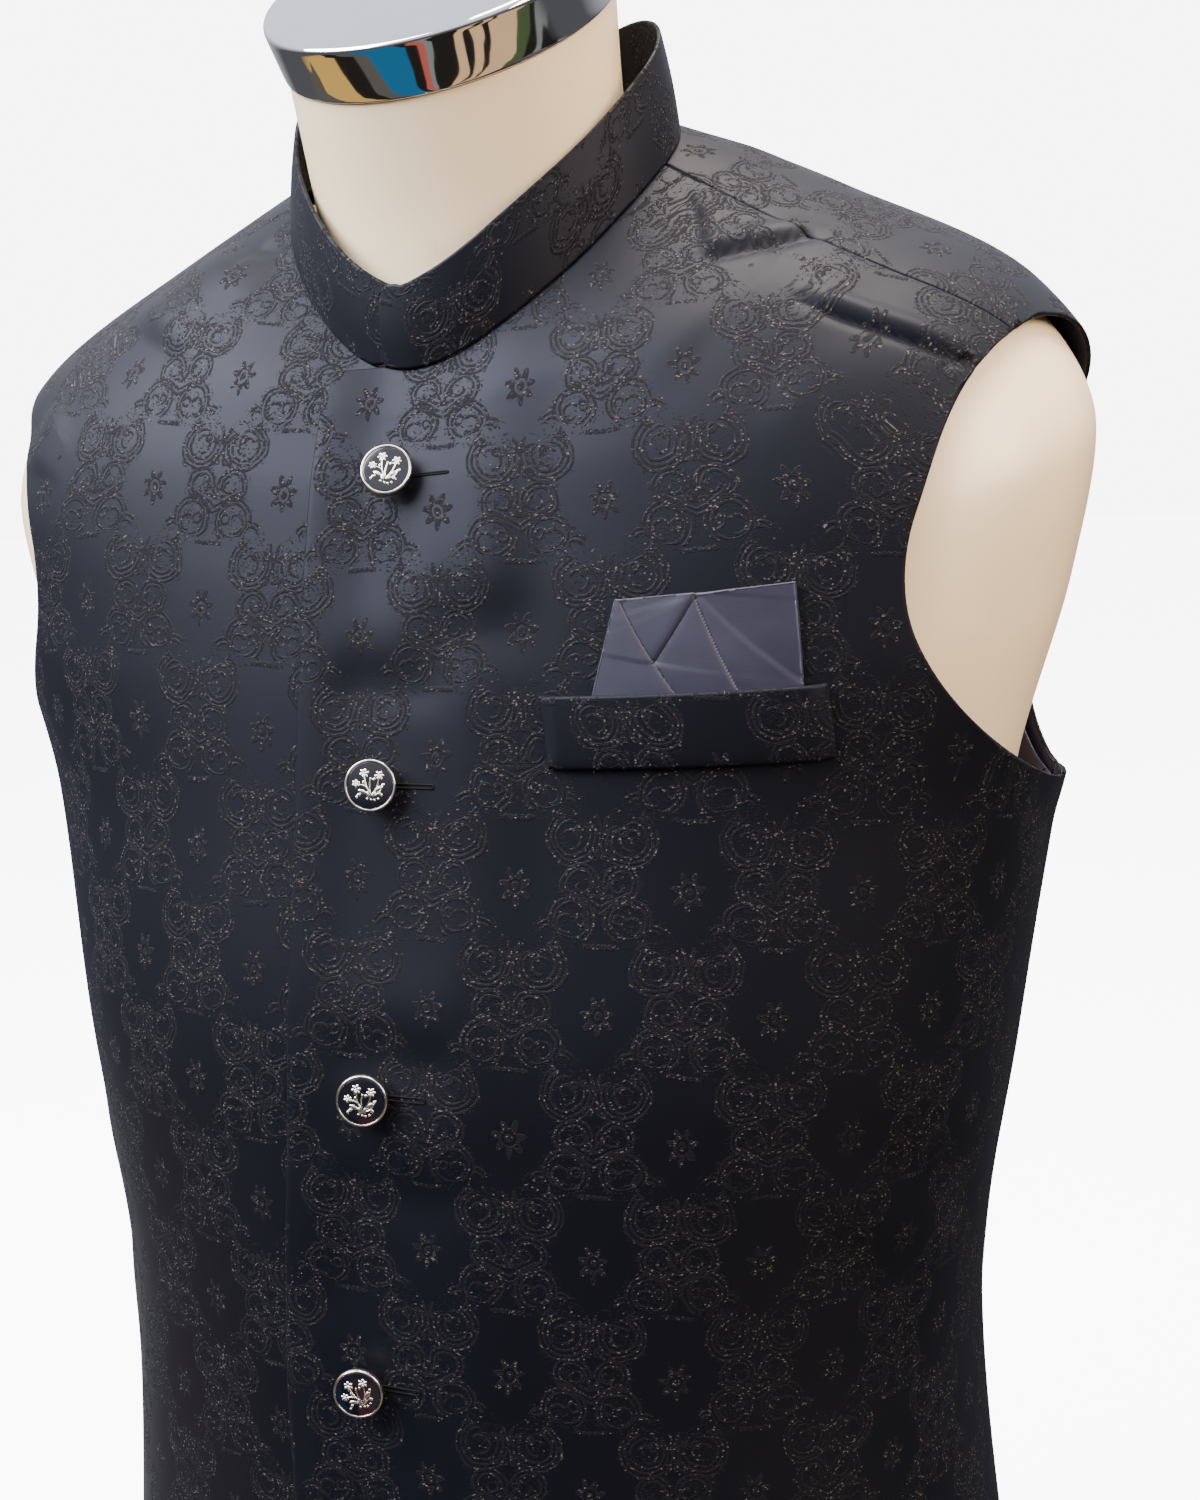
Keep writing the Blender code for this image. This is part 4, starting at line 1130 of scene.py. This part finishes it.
# the first few levels are close together and draw the foot's small chamfer
FORM_LEVELS = np.concatenate(((0.0, 1.2, 2.5, 3.7, 5.0), np.linspace(5.0, 960.0, 300)[1:]))
PARTING_RISE = 0.35      # mm that the parting line stands proud
PARTING_WIDTH = 0.8      # degrees
PARTING_TOP = 870.0      # level at which it stops, under the collar
# columns: level, angle of the parting line on the wearer's left
PARTING = np.array((
    (0.0, 4.0), (548.0, 2.0), (628.0, -11.3), (663.0, -8.3), (690.0, -5.1), (710.0, 0.0), (960.0, 0.0),
))


def form_points():
    """The form's section at each level, moved out along a thin line on both sides."""
    angle = np.linspace(-180.0, 180.0, FORM_AROUND + 1)[:-1]
    level = FORM_LEVELS[:, None]
    line = np.interp(FORM_LEVELS, PARTING[:, 0], PARTING[:, 1])[:, None]
    mirrored = np.where(np.abs(angle) > 90.0, 180.0 - angle, angle)
    from_line = np.abs(((mirrored + 180.0) % 360.0 - 180.0)[None, :] - line)
    out = PARTING_RISE * np.exp(-((from_line / PARTING_WIDTH) ** 2))
    out = np.where(level < PARTING_TOP, out, 0.0)
    return surface(FORM, level, angle[None, :], out)


def ring_faces(rings, around):
    """Faces of a stack of rings: each ring's points joined to the next ring's, all the way round."""
    index = np.arange(rings * around).reshape(rings, around)
    beside = np.roll(index, -1, axis=1)
    return np.stack([c.ravel() for c in (index[:-1], beside[:-1], beside[1:], index[1:])], axis=1)


def listed_mesh(name, points, faces, material, sharp=None):
    """A smooth-shaded object from points in mm and faces of any length. Edges that bend by more
    than sharp, in degrees, stay crisp."""
    mesh = bpy.data.meshes.new(name)
    mesh.from_pydata((points * MM).tolist(), [], faces)
    mesh.materials.append(material)
    mesh.shade_smooth()
    if sharp is not None:
        mesh.set_sharp_from_angle(angle=math.radians(sharp))
    piece = bpy.data.objects.new(name, mesh)
    bpy.context.scene.collection.objects.link(piece)
    return piece


rings = form_points()
count, around = rings.shape[:2]
foot, top = list(range(around))[::-1], list(range((count - 1) * around, count * around))
torso_faces = ring_faces(count, around).tolist() + [foot, top]
torso = listed_mesh("torso_shell", rings.reshape(-1, 3), torso_faces, form_gelcoat, sharp=50.0)
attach(torso, "root")
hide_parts("form_torso")
print("torso rings:", len(FORM_LEVELS), "points round:", FORM_AROUND)

# %% [markdown]
# ## Neck cap
# A spun brass disc with a rolled upper edge, chromed. Chrome is almost a mirror, so it shows the
# room more than itself; a faint haze from handling is all that its own surface adds.

# %% Metals
def metal(name, colour, worn, roughness, grain):
    """A plated metal: its colour in linear light, a slightly duller one where it is worn."""
    material, tree, output = new_material(name)
    place = add(tree, "TexCoord").outputs["Object"]
    haze = add(tree, "TexNoise", {"Vector": place, "Scale": grain, "Detail": 3.0})
    tone = add(tree, "MixRGB", {"Fac": haze, "Color1": linear(colour), "Color2": linear(worn)})
    rough = add(tree, "MapRange", {
        "Value": haze, "From Min": 0.3, "From Max": 0.7,
        "To Min": roughness * 0.7, "To Max": roughness * 1.4,
    })
    bump = add(tree, "Bump", {"Height": haze, "Strength": 0.04, "Distance": 0.0002})
    shader = add(tree, "BsdfPrincipled", {
        "Base Color": tone, "Metallic": 1.0, "Roughness": rough, "Normal": bump})
    tree.links.new(shader.outputs[0], output.inputs["Surface"])
    return material


cap_chrome = metal("chrome_plate_polished", "#e4e4e6", "#d6d7da", 0.05, 60.0)
button_plate = metal("rhodium_plate_cast_zinc", "#e9e6df", "#d9d3c6", 0.16, 900.0)
print("metals:", cap_chrome.name, button_plate.name)


# %% Turned pieces
def filleted(profile, radii, segments=5):
    """A profile whose corners are rounded: each corner becomes a short curve between two points
    set back from it, the quadratic curve that has the corner as its middle point."""
    result = [profile[0]]
    t = np.linspace(0.0, 1.0, segments + 1)[:, None]
    for i in range(1, len(profile) - 1):
        before, here, after = (np.array(profile[i + k], float) for k in (-1, 0, 1))
        back = unit(before - here) * min(radii[i], 0.45 * np.linalg.norm(before - here))
        on = unit(after - here) * min(radii[i], 0.45 * np.linalg.norm(after - here))
        curve = (1 - t) ** 2 * (here + back) + 2 * t * (1 - t) * here + t**2 * (here + on)
        result += [tuple(p) for p in curve]
    return np.array(result + [profile[-1]])


def placed(points, matrix):
    """Points carried by a matrix: turned by its upper three rows and columns, then moved."""
    return points @ np.array(matrix.to_3x3()).T + np.array(matrix.translation)


def turned(name, profile, segments, matrix, material):
    """A profile of (radius, height) turned round its axis, from its top middle to its foot:
    radius cos a, radius sin a, height."""
    angle = np.linspace(0.0, 2.0 * math.pi, segments + 1)[:-1]
    radius, height = profile[1:-1, :1], profile[1:-1, 1:]
    columns = np.broadcast_arrays(radius * np.cos(angle), radius * np.sin(angle), height)
    rings = np.stack(columns, axis=-1)
    poles = np.array(((0.0, 0.0, profile[-1][1]), (0.0, 0.0, profile[0][1])))
    points = placed(np.concatenate((rings[::-1].reshape(-1, 3), poles)), matrix)
    foot, head = len(points) - 2, len(points) - 1
    last = head - 1 - segments
    fans = [(foot, (i + 1) % segments, i) for i in range(segments)]
    fans += [(head, last + i, last + (i + 1) % segments) for i in range(segments)]
    faces = ring_faces(len(rings), segments).tolist() + fans
    return listed_mesh(name, points, faces, material, sharp=60.0)


print("turned pieces run from the top of the axis to its foot")

# %% Cap
CAP_RADIUS = 61.5
CAP_FLARE = 1.8          # how much wider its rim is than its foot
CAP_HEIGHT = 19.5
CAP_CENTRE = (-46.0, 822.0)     # y from the sections' centre line, and z
CAP_TILT = math.radians(34.0)
CAP_SEGMENTS = 192
rim = CAP_RADIUS + CAP_FLARE
cap_profile = filleted(
    ((0.0, CAP_HEIGHT + 1.5), (CAP_RADIUS * 0.5, CAP_HEIGHT + 1.1), (rim - 5.0, CAP_HEIGHT + 0.2),
     (rim, CAP_HEIGHT), (CAP_RADIUS + 0.4, 2.2), (CAP_RADIUS, 0.0), (0.0, 0.0)),
    (0.0, 20.0, 2.5, 2.8, 3.0, 0.8, 0.0))
cap_place = Matrix.Translation((0.0, CAP_CENTRE[0] + ORIGIN_Y, CAP_CENTRE[1]))
cap_matrix = cap_place @ Matrix.Rotation(CAP_TILT, 4, "X")
cap = turned("neck_cap_spun", cap_profile, CAP_SEGMENTS, cap_matrix, cap_chrome)
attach(cap, "root")
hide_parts("form_neck_cap")
print("cap across, mm:", 2 * rim)

# %% [markdown]
# ## Buttons
# Five shank buttons, 18 mm across: a cast and plated body with a thin polished rim, black enamel
# poured inside it, and a little bunch of three flowers in relief. The shanks let each button
# turn, so every bunch leans its own way. Petals and leaves are flattened half eggs, a surface in
# two parameters, and stems are thin tubes. All are joined in one mesh.

# %% Enamel
def enamel(name):
    """Fired glass, black with the faintest clouds, under a clear glossy coat."""
    material, tree, output = new_material(name)
    place = add(tree, "TexCoord").outputs["Object"]
    cloud = add(tree, "TexNoise", {"Vector": place, "Scale": 700.0, "Detail": 2.0})
    colour = add(tree, "MixRGB", {
        "Fac": cloud, "Color1": linear("#07070c"), "Color2": linear("#11121d")})
    rough = add(tree, "MapRange", {"Value": cloud, "To Min": 0.06, "To Max": 0.16})
    shader = add(tree, "BsdfPrincipled", {
        "Base Color": colour, "Roughness": rough, "Coat Weight": 0.5, "Coat Roughness": 0.05})
    tree.links.new(shader.outputs[0], output.inputs["Surface"])
    return material


button_enamel = enamel("fired_enamel_black")
print("enamel ready")

# %% Where each button sits
BUTTONS = 5
FIRST_BUTTON = 39.9      # mm down the centre front from the neckline
BUTTON_SPACING = 104.5
BUTTON_YAW = math.radians(16.0)
BUTTON_RADIUS = 9.0
BUTTON_SHANK = 3.2
BUTTON_CLEAR = 1.2       # clear space between the cloth and the shank's foot
BUTTON_TURNS = (-6.0, 3.0, 0.0, 25.0, -4.0)   # degrees that each button has turned on its shank
BUTTON_SEGMENTS = 72


def button_seats():
    """(level, angle, frame) of each button, by its distance down the centre front. Its axis is the
    cloth's normal, turned a little to the wearer's left, since the shank leans."""
    level = np.linspace(NECKLINE, HEM, 401)
    angle = angle_at(JACKET, level, swing(level))
    line = surface(JACKET, level, angle) + normals(level, angle) * (LAP_LIFT + CLOTH)
    down = np.concatenate(((0.0,), np.cumsum(np.linalg.norm(np.diff(line, axis=0), axis=1))))
    seats = []
    for k in range(BUTTONS):
        here = np.interp(FIRST_BUTTON + k * BUTTON_SPACING, down, level)
        turn = np.interp(-here, -level, angle)
        normal = normals(here, turn)[0]
        point = surface(JACKET, here, turn)[0] + normal * (LAP_LIFT + CLOTH)
        axis = Matrix.Rotation(BUTTON_YAW, 3, "Z") @ Vector(normal)
        side = Vector((0.0, 0.0, 1.0)).cross(axis).normalized()
        seat = Matrix((side, axis.cross(side), axis)).transposed().to_4x4()
        seat.translation = Vector(point) + axis * (BUTTON_SHANK + BUTTON_CLEAR)
        seats.append((here, turn, seat @ Matrix.Rotation(math.radians(BUTTON_TURNS[k]), 4, "Z")))
    return seats


seats = button_seats()
print("button levels, mm:", [round(float(s[0])) for s in seats])

# %% Bodies and enamel faces
r = BUTTON_RADIUS
body_profile = filleted(
    ((0.0, 2.6), (r - 1.15, 2.6), (r - 1.0, 3.15), (r - 0.45, 3.15), (r, 2.2), (r - 0.3, 0.9),
     (r - 2.0, 0.1), (1.9, 0.0), (1.6, -BUTTON_SHANK), (0.0, -BUTTON_SHANK)),
    (0.0, 0.2, 0.15, 0.25, 0.5, 0.6, 1.0, 0.8, 0.3, 0.0))
face_profile = filleted(
    ((0.0, 3.35), (0.5 * r, 3.25), (r - 1.25, 2.95), (r - 1.2, 2.7), (0.0, 2.65)),
    (0.0, 3.0, 0.3, 0.1, 0.0))
for k, (level, angle, seat) in enumerate(seats):
    body = turned(f"button_body_{k + 1}", body_profile, BUTTON_SEGMENTS, seat, button_plate)
    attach(body, "root")
    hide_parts(f"button_{k + 1}")
    face = turned(f"button_enamel_{k + 1}", face_profile, BUTTON_SEGMENTS, seat, button_enamel)
    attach(face, "root")
    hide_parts(f"button_face_{k + 1}")
print("button bodies:", BUTTONS)

# %% The bunch of flowers
# columns: blossom's place x, y, petal length, number of petals, turn in degrees
BLOSSOMS = ((-1.6, 4.1, 1.35, 6, 10.0), (3.5, 3.0, 1.30, 6, 0.0), (-4.6, 0.9, 1.15, 6, 20.0))
# columns: x, y, half length, half width, turn, height: leaves, buds and berries
LEAVES = (
    (-2.6, -1.9, 1.7, 0.75, 155.0, 0.40), (2.9, -1.4, 1.8, 0.80, 30.0, 0.40),
    (-0.6, -3.1, 1.3, 0.70, 100.0, 0.42), (1.2, -3.0, 1.2, 0.65, 65.0, 0.42),
    (4.4, -0.4, 1.0, 0.55, 50.0, 0.36), (-3.9, -2.9, 0.9, 0.50, 200.0, 0.34),
    (3.4, -3.2, 0.9, 0.60, 320.0, 0.36), (-1.9, 1.1, 0.75, 0.6, 60.0, 0.36),
    (1.6, 1.9, 0.7, 0.5, 45.0, 0.34), (-4.7, -3.6, 0.5, 0.5, 0.0, 0.36),
    (0.2, -4.8, 0.45, 0.45, 0.0, 0.34), (1.3, -5.0, 0.45, 0.45, 0.0, 0.34),
    (-1.2, -4.4, 0.45, 0.45, 0.0, 0.34), (2.6, -4.6, 0.42, 0.42, 0.0, 0.32),
)
# columns: foot x, y, sag, head x, y
STEMS = ((0.3, -3.6, 0.5, -1.6, 3.6), (0.3, -3.6, -0.6, 3.4, 2.6), (0.2, -3.4, -1.2, -4.3, 0.7),
         (0.5, -3.4, -0.9, 4.3, -0.6), (0.1, -3.0, 0.3, 0.6, 2.6))
EGG_GRID = (5, 12)


def enamel_height(x, y):
    """Height of the domed enamel under a point of the face."""
    return np.interp(np.hypot(x, y), face_profile[:-2, 0], face_profile[:-2, 1])


def half_egg(x, y, long, wide, turn, height):
    """Rings of (x, y, z): long cos a cos b, wide sin a cos b, height sin b, turned and set down."""
    rise = np.linspace(0.0, 0.5 * math.pi, EGG_GRID[0])[:-1, None]
    round_ = np.linspace(0.0, 2.0 * math.pi, EGG_GRID[1] + 1)[None, :-1]
    px = long * np.cos(round_) * np.cos(rise)
    py = wide * np.sin(round_) * np.cos(rise)
    pz = height * np.sin(rise) + 0.0 * px
    c, s = math.cos(math.radians(turn)), math.sin(math.radians(turn))
    rings = np.stack((x + c * px - s * py, y + s * px + c * py, pz), axis=-1)
    return np.concatenate((rings.reshape(-1, 3), ((x, y, height),)))


def egg_faces():
    """Faces of one half egg: its rings, the fan at its top and one flat face under it."""
    levels, around = EGG_GRID[0] - 1, EGG_GRID[1]
    top = levels * around
    last = top - around
    tips = [(last + i, last + (i + 1) % around, top) for i in range(around)]
    return ring_faces(levels, around).tolist() + tips + [list(range(around))[::-1]]


def stem(x0, y0, sag, x1, y1, radius=0.26, sides=8, steps=14):
    """Rings of a tube on the curve (1 - t) foot + t head + sag sin(pi t) sideways."""
    t = np.linspace(0.0, 1.0, steps)
    run = np.array((x1 - x0, y1 - y0))
    normal = unit(np.array((-run[1], run[0])))
    line = np.array((x0, y0)) + t[:, None] * run + (sag * np.sin(math.pi * t))[:, None] * normal
    way = unit(np.gradient(line, axis=0))
    across = np.stack((-way[:, 1], way[:, 0]), axis=-1)
    angle = np.linspace(0.0, 2.0 * math.pi, sides + 1)[:-1]
    flat_place = line[:, None] + radius * np.cos(angle)[None, :, None] * across[:, None]
    rise = np.broadcast_to(0.12 + radius * np.sin(angle)[None, :], flat_place.shape[:2])
    points = np.concatenate((flat_place, rise[..., None]), axis=-1).reshape(-1, 3)
    ends = [list(range(sides)), list(range(len(points) - sides, len(points)))[::-1]]
    return points, ring_faces(steps, sides)[:, ::-1].tolist() + ends


def bunch():
    """(points, faces) of the whole relief, sitting on the enamel."""
    eggs = list(LEAVES)
    for x, y, petal, count, turn in BLOSSOMS:
        for k in range(count):
            a = turn + 360.0 * k / count
            c, s = math.cos(math.radians(a)), math.sin(math.radians(a))
            tip = (x + 0.72 * petal * c, y + 0.72 * petal * s)
            eggs.append(tip + (0.62 * petal, 0.40 * petal, a, 0.42))
        eggs.append((x, y, 0.45, 0.45, 0.0, 0.62))
    shapes = [(half_egg(*row), egg_faces()) for row in eggs] + [stem(*row) for row in STEMS]
    points, faces, count = [], [], 0
    for shape_points, shape_faces in shapes:
        points.append(shape_points)
        faces += [[i + count for i in face] for face in shape_faces]
        count += len(shape_points)
    points = np.concatenate(points)
    points[:, 2] += enamel_height(points[:, 0], points[:, 1]) - 0.06
    return points, faces


bunch_points, bunch_faces = bunch()
for k, (level, angle, seat) in enumerate(seats):
    points = placed(bunch_points, seat)
    flowers = listed_mesh(f"button_flowers_{k + 1}", points, bunch_faces, button_plate)
    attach(flowers, "root")
print("relief of one button:", len(bunch_points), "points")

# %% [markdown]
# ## Buttonholes
# Each button comes through a worked hole, cut crossways in the left front and edged with close
# stitches of navy thread over a cord. The edge is a tube carried round a long slot, with a ripple
# for every stitch.

# %% Thread
def thread(name):
    """Dull near-black polyester, with a fine grain for its twist."""
    material, tree, output = new_material(name)
    place = add(tree, "TexCoord").outputs["Object"]
    grain = add(tree, "TexNoise", {"Vector": place, "Scale": 2200.0, "Detail": 2.0})
    colour = add(tree, "MixRGB", {
        "Fac": grain, "Color1": linear("#07070a"), "Color2": linear("#0e0e13")})
    bump = add(tree, "Bump", {"Height": grain, "Strength": 0.4, "Distance": 0.0001})
    shader = add(tree, "BsdfPrincipled", {
        "Base Color": colour, "Roughness": 0.7, "Normal": bump, "Specular IOR Level": 0.1})
    tree.links.new(shader.outputs[0], output.inputs["Surface"])
    return material


buttonhole_thread = thread("polyester_thread_navy")
print("thread ready")

# %% Worked holes
HOLE = (-2.0, 21.0)      # mm from the button's axis to the hole's two ends, to the wearer's left
HOLE_HALF = 0.75         # half the distance between the two edges' middles
HOLE_CORD = 0.42         # radius of the worked edge
STITCH = 0.85            # mm between stitches
HOLE_RISE = 1.05         # levels to a millimetre up the cloth, near enough over a slot's height
HOLE_STEPS = 260
HOLE_SIDES = 10


def slot_path():
    """A long slot as (length so far, x, y): two straight lines and two half circles, once round."""
    straight = HOLE[1] - HOLE[0]
    bend = math.pi * HOLE_HALF
    s = np.linspace(0.0, 2.0 * (straight + bend), HOLE_STEPS + 1)[:-1]
    first = s < straight
    second = ~first & (s < straight + bend)
    third = ~first & ~second & (s < 2.0 * straight + bend)
    turn = np.where(first, 0.0, np.where(second, (s - straight) / HOLE_HALF, np.where(
        third, math.pi, math.pi + (s - 2.0 * straight - bend) / HOLE_HALF)))
    x = np.where(first, HOLE[0] + s, np.where(second, HOLE[1] + HOLE_HALF * np.sin(turn), np.where(
        third, HOLE[1] - (s - straight - bend), HOLE[0] + HOLE_HALF * np.sin(turn))))
    return s, x, -HOLE_HALF * np.cos(turn)


def worked_hole(name, level, angle):
    """The slot's tube: its radius is the cord's, plus a ripple with one wave for each stitch."""
    s, x, y = slot_path()
    here = surface(JACKET, level, angle)[0]
    levels = level + HOLE_RISE * y
    angles = angle_at(JACKET, levels, here[0] + x)
    base = on_left_front(levels, angles)
    normal = normals(levels, angles)
    centre = base + normal * (CLOTH + crease_offset(base, normal) + 0.1)[:, None]
    along = unit(np.roll(centre, -1, axis=0) - np.roll(centre, 1, axis=0))
    outward = np.cross(along, normal)
    a = np.linspace(0.0, 2.0 * math.pi, HOLE_SIDES + 1)[:-1]
    radius = HOLE_CORD * (0.86 + 0.14 * np.cos(2.0 * math.pi * s / STITCH))[:, None, None]
    a = a[None, :, None]
    tube = centre[:, None] + radius * (np.cos(a) * outward[:, None] + 0.8 * np.sin(a) * normal[:, None])
    index = np.arange(HOLE_STEPS * HOLE_SIDES).reshape(HOLE_STEPS, HOLE_SIDES)
    below, beside = np.roll(index, -1, axis=0), np.roll(index, -1, axis=1)
    faces = np.stack([c.ravel() for c in (index, beside, np.roll(below, -1, axis=1), below)], axis=1)
    return mesh_of(name, tube.reshape(-1, 3), faces, [buttonhole_thread])


for k, (level, angle, seat) in enumerate(seats):
    hole = worked_hole(f"buttonhole_{k + 1}", float(level), float(angle))
    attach(hole, "root")
print("stitches round one hole:", round(2.0 * (HOLE[1] - HOLE[0] + math.pi * HOLE_HALF) / STITCH))

# %% [markdown]
# ## Floor and light
# A plain pale floor, a pale room, one broad soft light from high on the wearer's right, a smaller
# one overhead and a warm lamp low on the wearer's left. The room is dimmer low down, as it is when
# a stand faces away from the window. The floor glows by itself and is left out of reflections, so
# it stays one even white and throws no light up under the cloth.

# %% Floor
FLOOR_SIZE = 30.0
floor_mesh = bpy.data.meshes.new("floor")
half = FLOOR_SIZE / 2
corners = ((-half, -half, 0.0), (half, -half, 0.0), (half, half, 0.0), (-half, half, 0.0))
floor_mesh.from_pydata(corners, [], [(0, 1, 2, 3)])
floor = bpy.data.objects.new("floor", floor_mesh)
bpy.context.scene.collection.objects.link(floor)
material, tree, output = new_material("matt_paper_white")
paper = add(tree, "BsdfPrincipled", {
    "Base Color": linear("#f2f1ef"), "Roughness": 0.9, "Specular IOR Level": 0.1,
    "Emission Color": linear("#ffffff"), "Emission Strength": 6.5,
})
tree.links.new(paper.outputs[0], output.inputs["Surface"])
floor_mesh.materials.append(material)
floor.visible_diffuse = False
floor.visible_glossy = False
print("floor, m:", FLOOR_SIZE)

# %% Lights
# columns: name, place, what it faces, width and height in m, power in W, colour
LIGHTS = (
    ("window", (-1.3, -1.2, 2.2), (0.0, -0.05, 0.66), 1.8, 1.8, 240.0, "#f5f6ff"),
    ("ceiling", (0.2, 0.1, 2.6), (0.0, 0.0, 0.6), 1.2, 1.2, 110.0, "#fff1e0"),
    ("lamp", (1.7, -0.5, 1.3), (0.2, 0.0, 0.62), 1.0, 1.0, 42.0, "#ffe2c8"),
)
for name, place, target, wide, high, power, colour in LIGHTS:
    lamp = bpy.data.lights.new(name, "AREA")
    lamp.shape = "RECTANGLE"
    lamp.size = wide
    lamp.size_y = high
    lamp.energy = power
    lamp.color = linear(colour)[:3]
    light = bpy.data.objects.new(name, lamp)
    turned_to = (Vector(target) - Vector(place)).to_track_quat("-Z", "Y").to_matrix().to_4x4()
    light.matrix_world = Matrix.Translation(place) @ turned_to
    bpy.context.scene.collection.objects.link(light)

# The room: what the camera sees behind is the same paper white as the floor, and what lights the
# cloth is dimmer and falls off towards the ground. Low in front lie folded goods in several
# colours, which show as streaks in the chromed cap.
WHITE = 7.0
ROOM = (1.6, 0.12)       # strength overhead and at the ground
ROOM_HEIGHTS = (0.5, -0.05)     # how far up a direction points where those strengths are reached
GOODS_STRENGTH = 1.3
GOODS_HEIGHTS = (-0.30, -0.38)  # they fade in between these
GOODS_SPAN = (-1.95, 2.75)      # azimuths, in radians, of the places -90 and 90 below
SHADES = {
    "paper": "#f2f2f2", "straw": "#d6ab5c", "blue": "#25678f", "rose": "#b85f52",
    "tan": "#e2b88c", "olive": "#4c5a3c", "grey": "#80857f", "slate": "#5c5850", "dark": "#25221f",
}
# columns: place from -90 at the wearer's right to 90 at the left, shade from there on
GOODS = (
    (-90, "paper"), (-80, "slate"), (-68, "straw"), (-54, "dark"), (-46, "slate"), (-36, "blue"),
    (-12, "dark"), (-6, "rose"), (0, "grey"), (4, "dark"), (20, "tan"), (28, "dark"), (31, "tan"),
    (36, "dark"), (39, "tan"), (50, "olive"), (56, "dark"), (61, "grey"), (66, "dark"),
    (72, "grey"), (78, "dark"),
)
world = bpy.data.worlds.new("pale_room")
world.use_nodes = True
tree = world.node_tree
tree.nodes.clear()
view = add(tree, "TexCoord").outputs["Generated"]
wander = add(tree, "TexNoise", {"Vector": view, "Scale": 3.0, "Detail": 2.0})
way = add(tree, "SeparateXYZ", {0: view})
ahead = add(tree, "Math", {0: way.outputs["Y"], 1: -1.0}, operation="MULTIPLY")
azimuth = add(tree, "Math", {0: way.outputs["X"], 1: ahead}, operation="ARCTAN2")
azimuth = add(tree, "Math", {0: wander, 1: 0.5, 2: azimuth}, operation="MULTIPLY_ADD")
share = add(tree, "MapRange", {
    "Value": azimuth, "From Min": GOODS_SPAN[0], "From Max": GOODS_SPAN[1]})
goods = add(tree, "ValToRGB", {0: share})
ramp = goods.color_ramp
ramp.interpolation = "CONSTANT"
ramp.elements[0].color = linear(SHADES[GOODS[0][1]])
ramp.elements.remove(ramp.elements[1])
for spot, shade in GOODS[1:]:
    ramp.elements.new((spot + 90.0) / 180.0).color = linear(SHADES[shade])
low = add(tree, "MapRange", {
    "Value": way.outputs["Z"], "From Min": GOODS_HEIGHTS[0], "From Max": GOODS_HEIGHTS[1]})
front = add(tree, "Math", {0: ahead, 1: -0.6}, operation="GREATER_THAN")
low = add(tree, "Math", {0: low, 1: front}, operation="MULTIPLY")
strength = add(tree, "MapRange", {
    "Value": way.outputs["Z"], "From Min": ROOM_HEIGHTS[1], "From Max": ROOM_HEIGHTS[0],
    "To Min": ROOM[1], "To Max": ROOM[0]})
plain = add(tree, "VectorMath", {0: linear("#f4f6ff")[:3], "Scale": strength}, operation="SCALE")
bright_goods = add(tree, "VectorMath", {
    0: goods.outputs["Color"], "Scale": GOODS_STRENGTH}, operation="SCALE")
seen_low = add(tree, "MixRGB", {"Fac": low, "Color1": plain, "Color2": bright_goods})
room = add(tree, "Background", {"Color": seen_low, "Strength": 1.0})
sweep = add(tree, "Background", {"Color": linear("#ffffff"), "Strength": WHITE})
seen = add(tree, "LightPath").outputs["Is Camera Ray"]
both = add(tree, "MixShader", {0: seen, 1: room, 2: sweep})
add(tree, "OutputWorld", {"Surface": both})
bpy.context.scene.world = world
print("lights:", [row[0] for row in LIGHTS])
